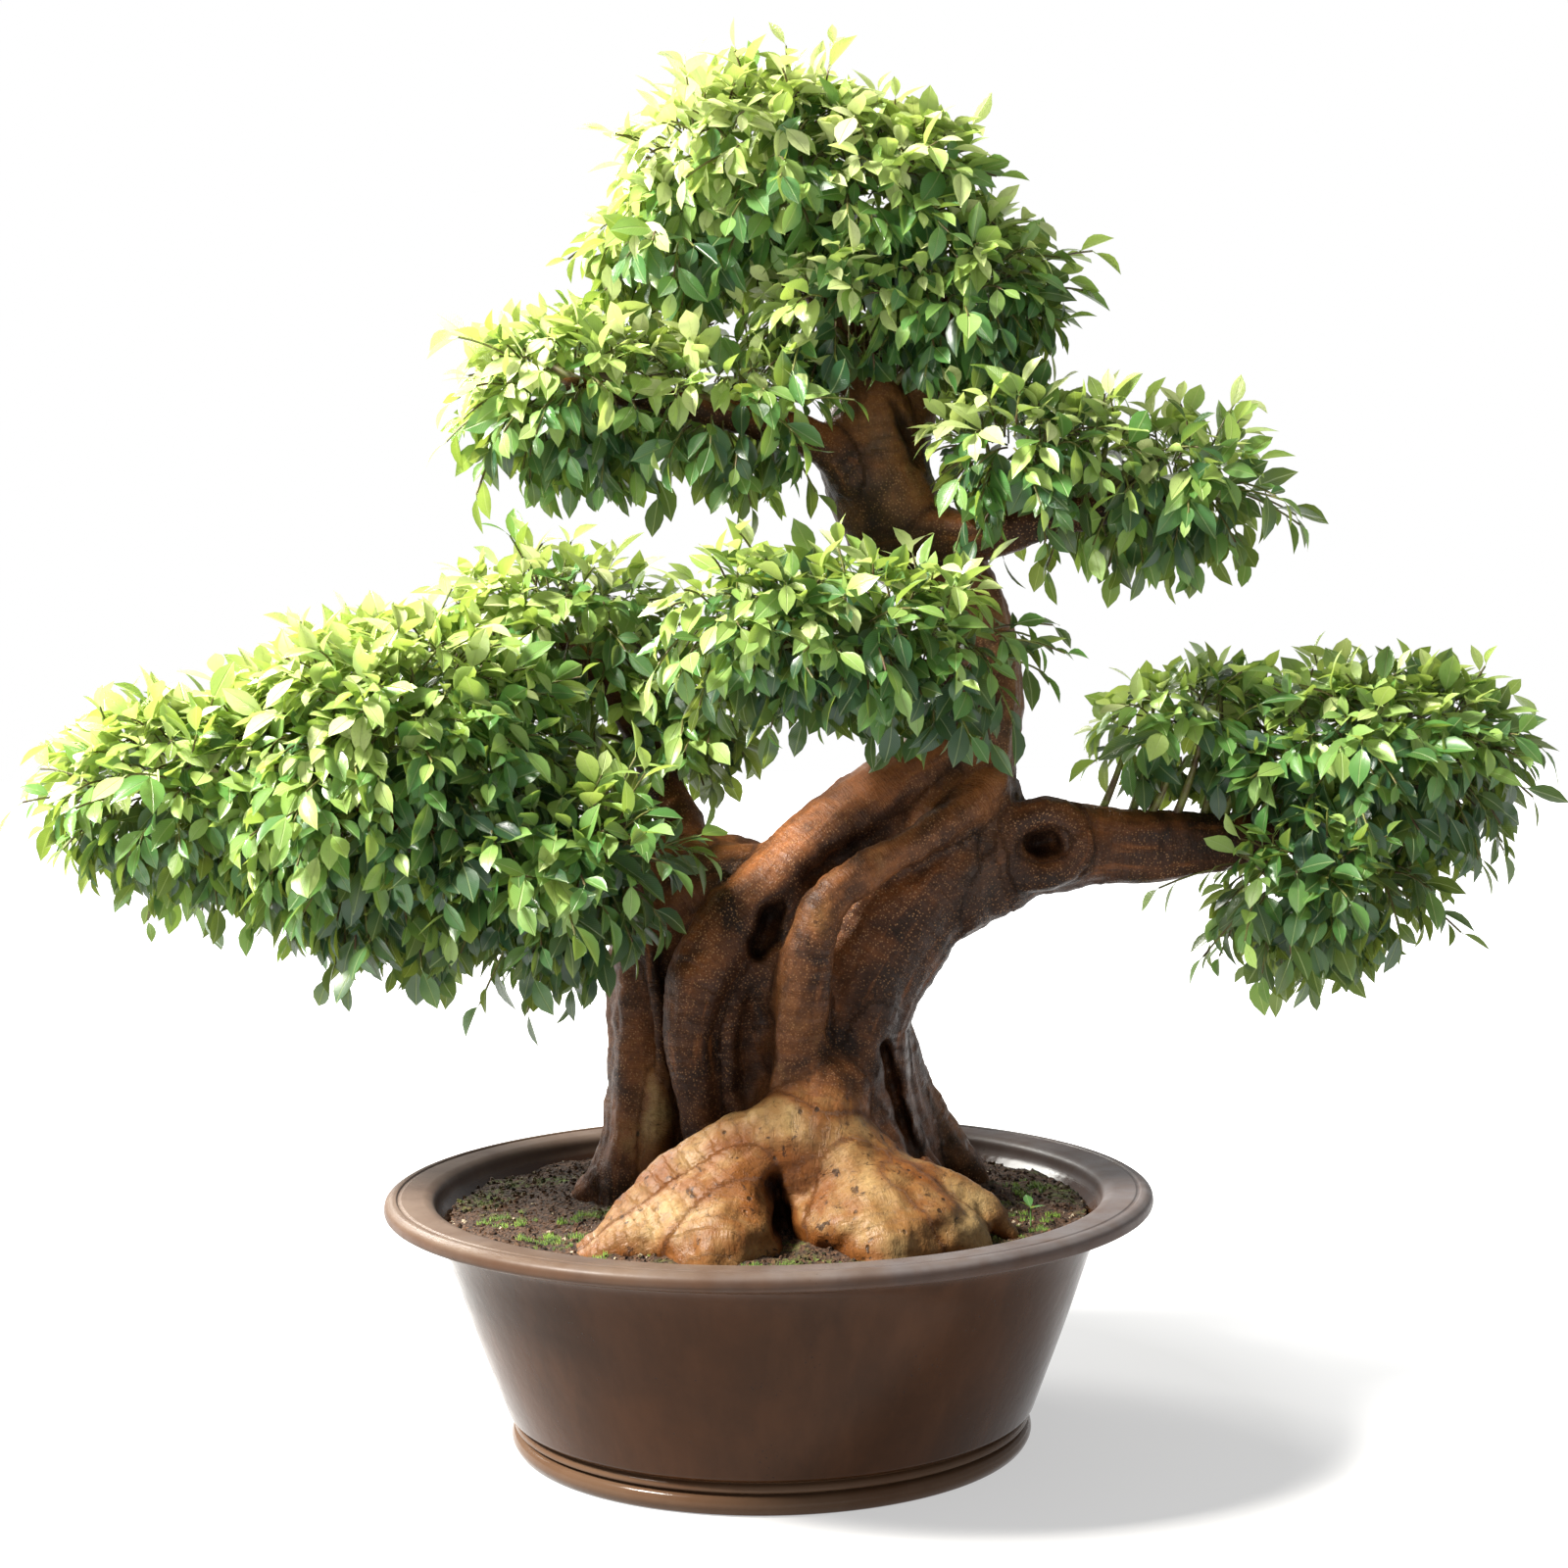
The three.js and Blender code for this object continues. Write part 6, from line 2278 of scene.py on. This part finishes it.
@dataclass(frozen=True)
class Lamp:
    """A square soft light.

    Attributes:
        name: Its name.
        place: Where it stands, in metres.
        aim: The point that it faces.
        size: The length of its side.
        power: Its power in watts.
        colour: Its colour.
    """

    name: str
    place: Point
    aim: Point
    size: float
    power: float
    colour: Colour

    def build(self) -> None:
        """Adds the light to the scene."""
        data = bpy.data.lights.new(self.name, "AREA")
        data.size = self.size
        data.energy = self.power
        data.color = self.colour
        lamp = linked(bpy.data.objects.new(self.name, data))
        lamp.location = self.place
        lamp.rotation_euler = (Vector(self.aim) - Vector(self.place)).to_track_quat("-Z", "Y").to_euler()


@dataclass
class Studio:
    """The pale floor, the soft lights and the camera at the photograph's viewpoint.

    Attributes:
        distance: How far in front of the pot's axis the camera stands, in metres.
        height: How high it stands.
        pitch: How far it looks down, in degrees.
        yaw: How far it looks to the right.
        roll: How far it is tipped to its side.
        lens: Its focal length in millimetres.
        fill: How much the white room lights the tree.
        floor: Half the side of the floor.
        lamps: The lights.
    """

    distance: float = 2.0157
    height: float = 0.6266
    pitch: float = 2.5
    yaw: float = 0.47
    roll: float = 0.69
    lens: float = 56.25
    fill: float = 0.44
    floor: float = 14.0
    lamps: tuple[Lamp, ...] = (
        Lamp("key", (-2.4, -0.9, 2.9), (0.0, 0.0, 0.6), 0.7, 600.0, (1.0, 0.965, 0.9)),
        Lamp("back", (-1.8, 2.4, 2.4), (0.0, 0.0, 0.7), 1.2, 160.0, (1.0, 0.99, 0.94)))

    def camera(self) -> None:
        """Places the camera."""
        pitch, yaw, roll = (math.radians(a) for a in (self.pitch, self.yaw, self.roll))
        ahead = Vector((math.sin(yaw) * math.cos(pitch), math.cos(yaw) * math.cos(pitch), -math.sin(pitch)))
        level = ahead.cross(Vector((0, 0, 1))).normalized()
        above = level.cross(ahead)
        right = level * math.cos(roll) - above * math.sin(roll)
        up = level * math.sin(roll) + above * math.cos(roll)
        data = bpy.data.cameras.new("camera")
        data.lens = self.lens
        data.sensor_width = 36.0
        data.clip_end = 60.0
        camera = linked(bpy.data.objects.new("camera", data))
        turn = Matrix((right, up, -ahead)).transposed()
        camera.matrix_world = Matrix.Translation((0, -self.distance, self.height)) @ turn.to_4x4()
        bpy.context.scene.camera = camera

    def world(self) -> None:
        """Gives the room a white background, which lights the tree less than it looks."""
        world = bpy.data.worlds.new("room")
        world.use_nodes = True
        room = Graph(world.node_tree)
        seen = room.node("ShaderNodeLightPath").outputs["Is Camera Ray"]
        strength = room.span(seen, 0.0, 1.0, self.fill, 1.0)
        shader = room.node("ShaderNodeBackground", {"Color": (1.0, 1.0, 1.0, 1.0), "Strength": strength})
        room.node("ShaderNodeOutputWorld", {"Surface": shader.outputs[0]})
        bpy.context.scene.world = world

    def build(self) -> None:
        """Sets up the floor, the lights and the camera."""
        side = self.floor
        corners = [(-side, -side, 0), (side, -side, 0), (side, side, 0), (-side, side, 0)]
        floor = mesh_object("floor", corners, [(0, 1, 2, 3)])
        floor.data.materials.append(FloorFinish().material())
        self.world()
        for lamp in self.lamps:
            lamp.build()
        bpy.context.scene.view_settings.view_transform = "Standard"
        self.camera()


def dress_drainage(nodes: Mapping[str, Thing]) -> None:
    """Gives the grit and the drain screens their materials.

    Args:
        nodes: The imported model's objects, by name.
    """
    grit, screen = GritFinish().material(), ScreenFinish().material()
    for name, obj in nodes.items():
        material = grit if name == "drainage_grit" else screen if name.startswith("drain_screen") else None
        if material is not None:
            paint(obj, material)


def main() -> None:
    """Builds the tree, its pot and the studio."""
    logging.basicConfig(level=logging.INFO, format="%(name)s: %(message)s")
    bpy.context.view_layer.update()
    wood = Wood().build()
    leaf, twig = LeafFinish().material(), TwigFinish().material()
    leaves = [shape.build(f"leaf_{number}") for number, shape in enumerate(LEAF_SHAPES)]
    for pad in PADS:
        pad.build(leaf, twig, wood, leaves)
    Branchlets().build(twig)
    Pot().build()
    Soil().build(wood)
    Seedling().build(leaf, leaves[0])
    dress_drainage(frame["nodes"])
    Studio().build()


if __name__ == "__main__":
    main()
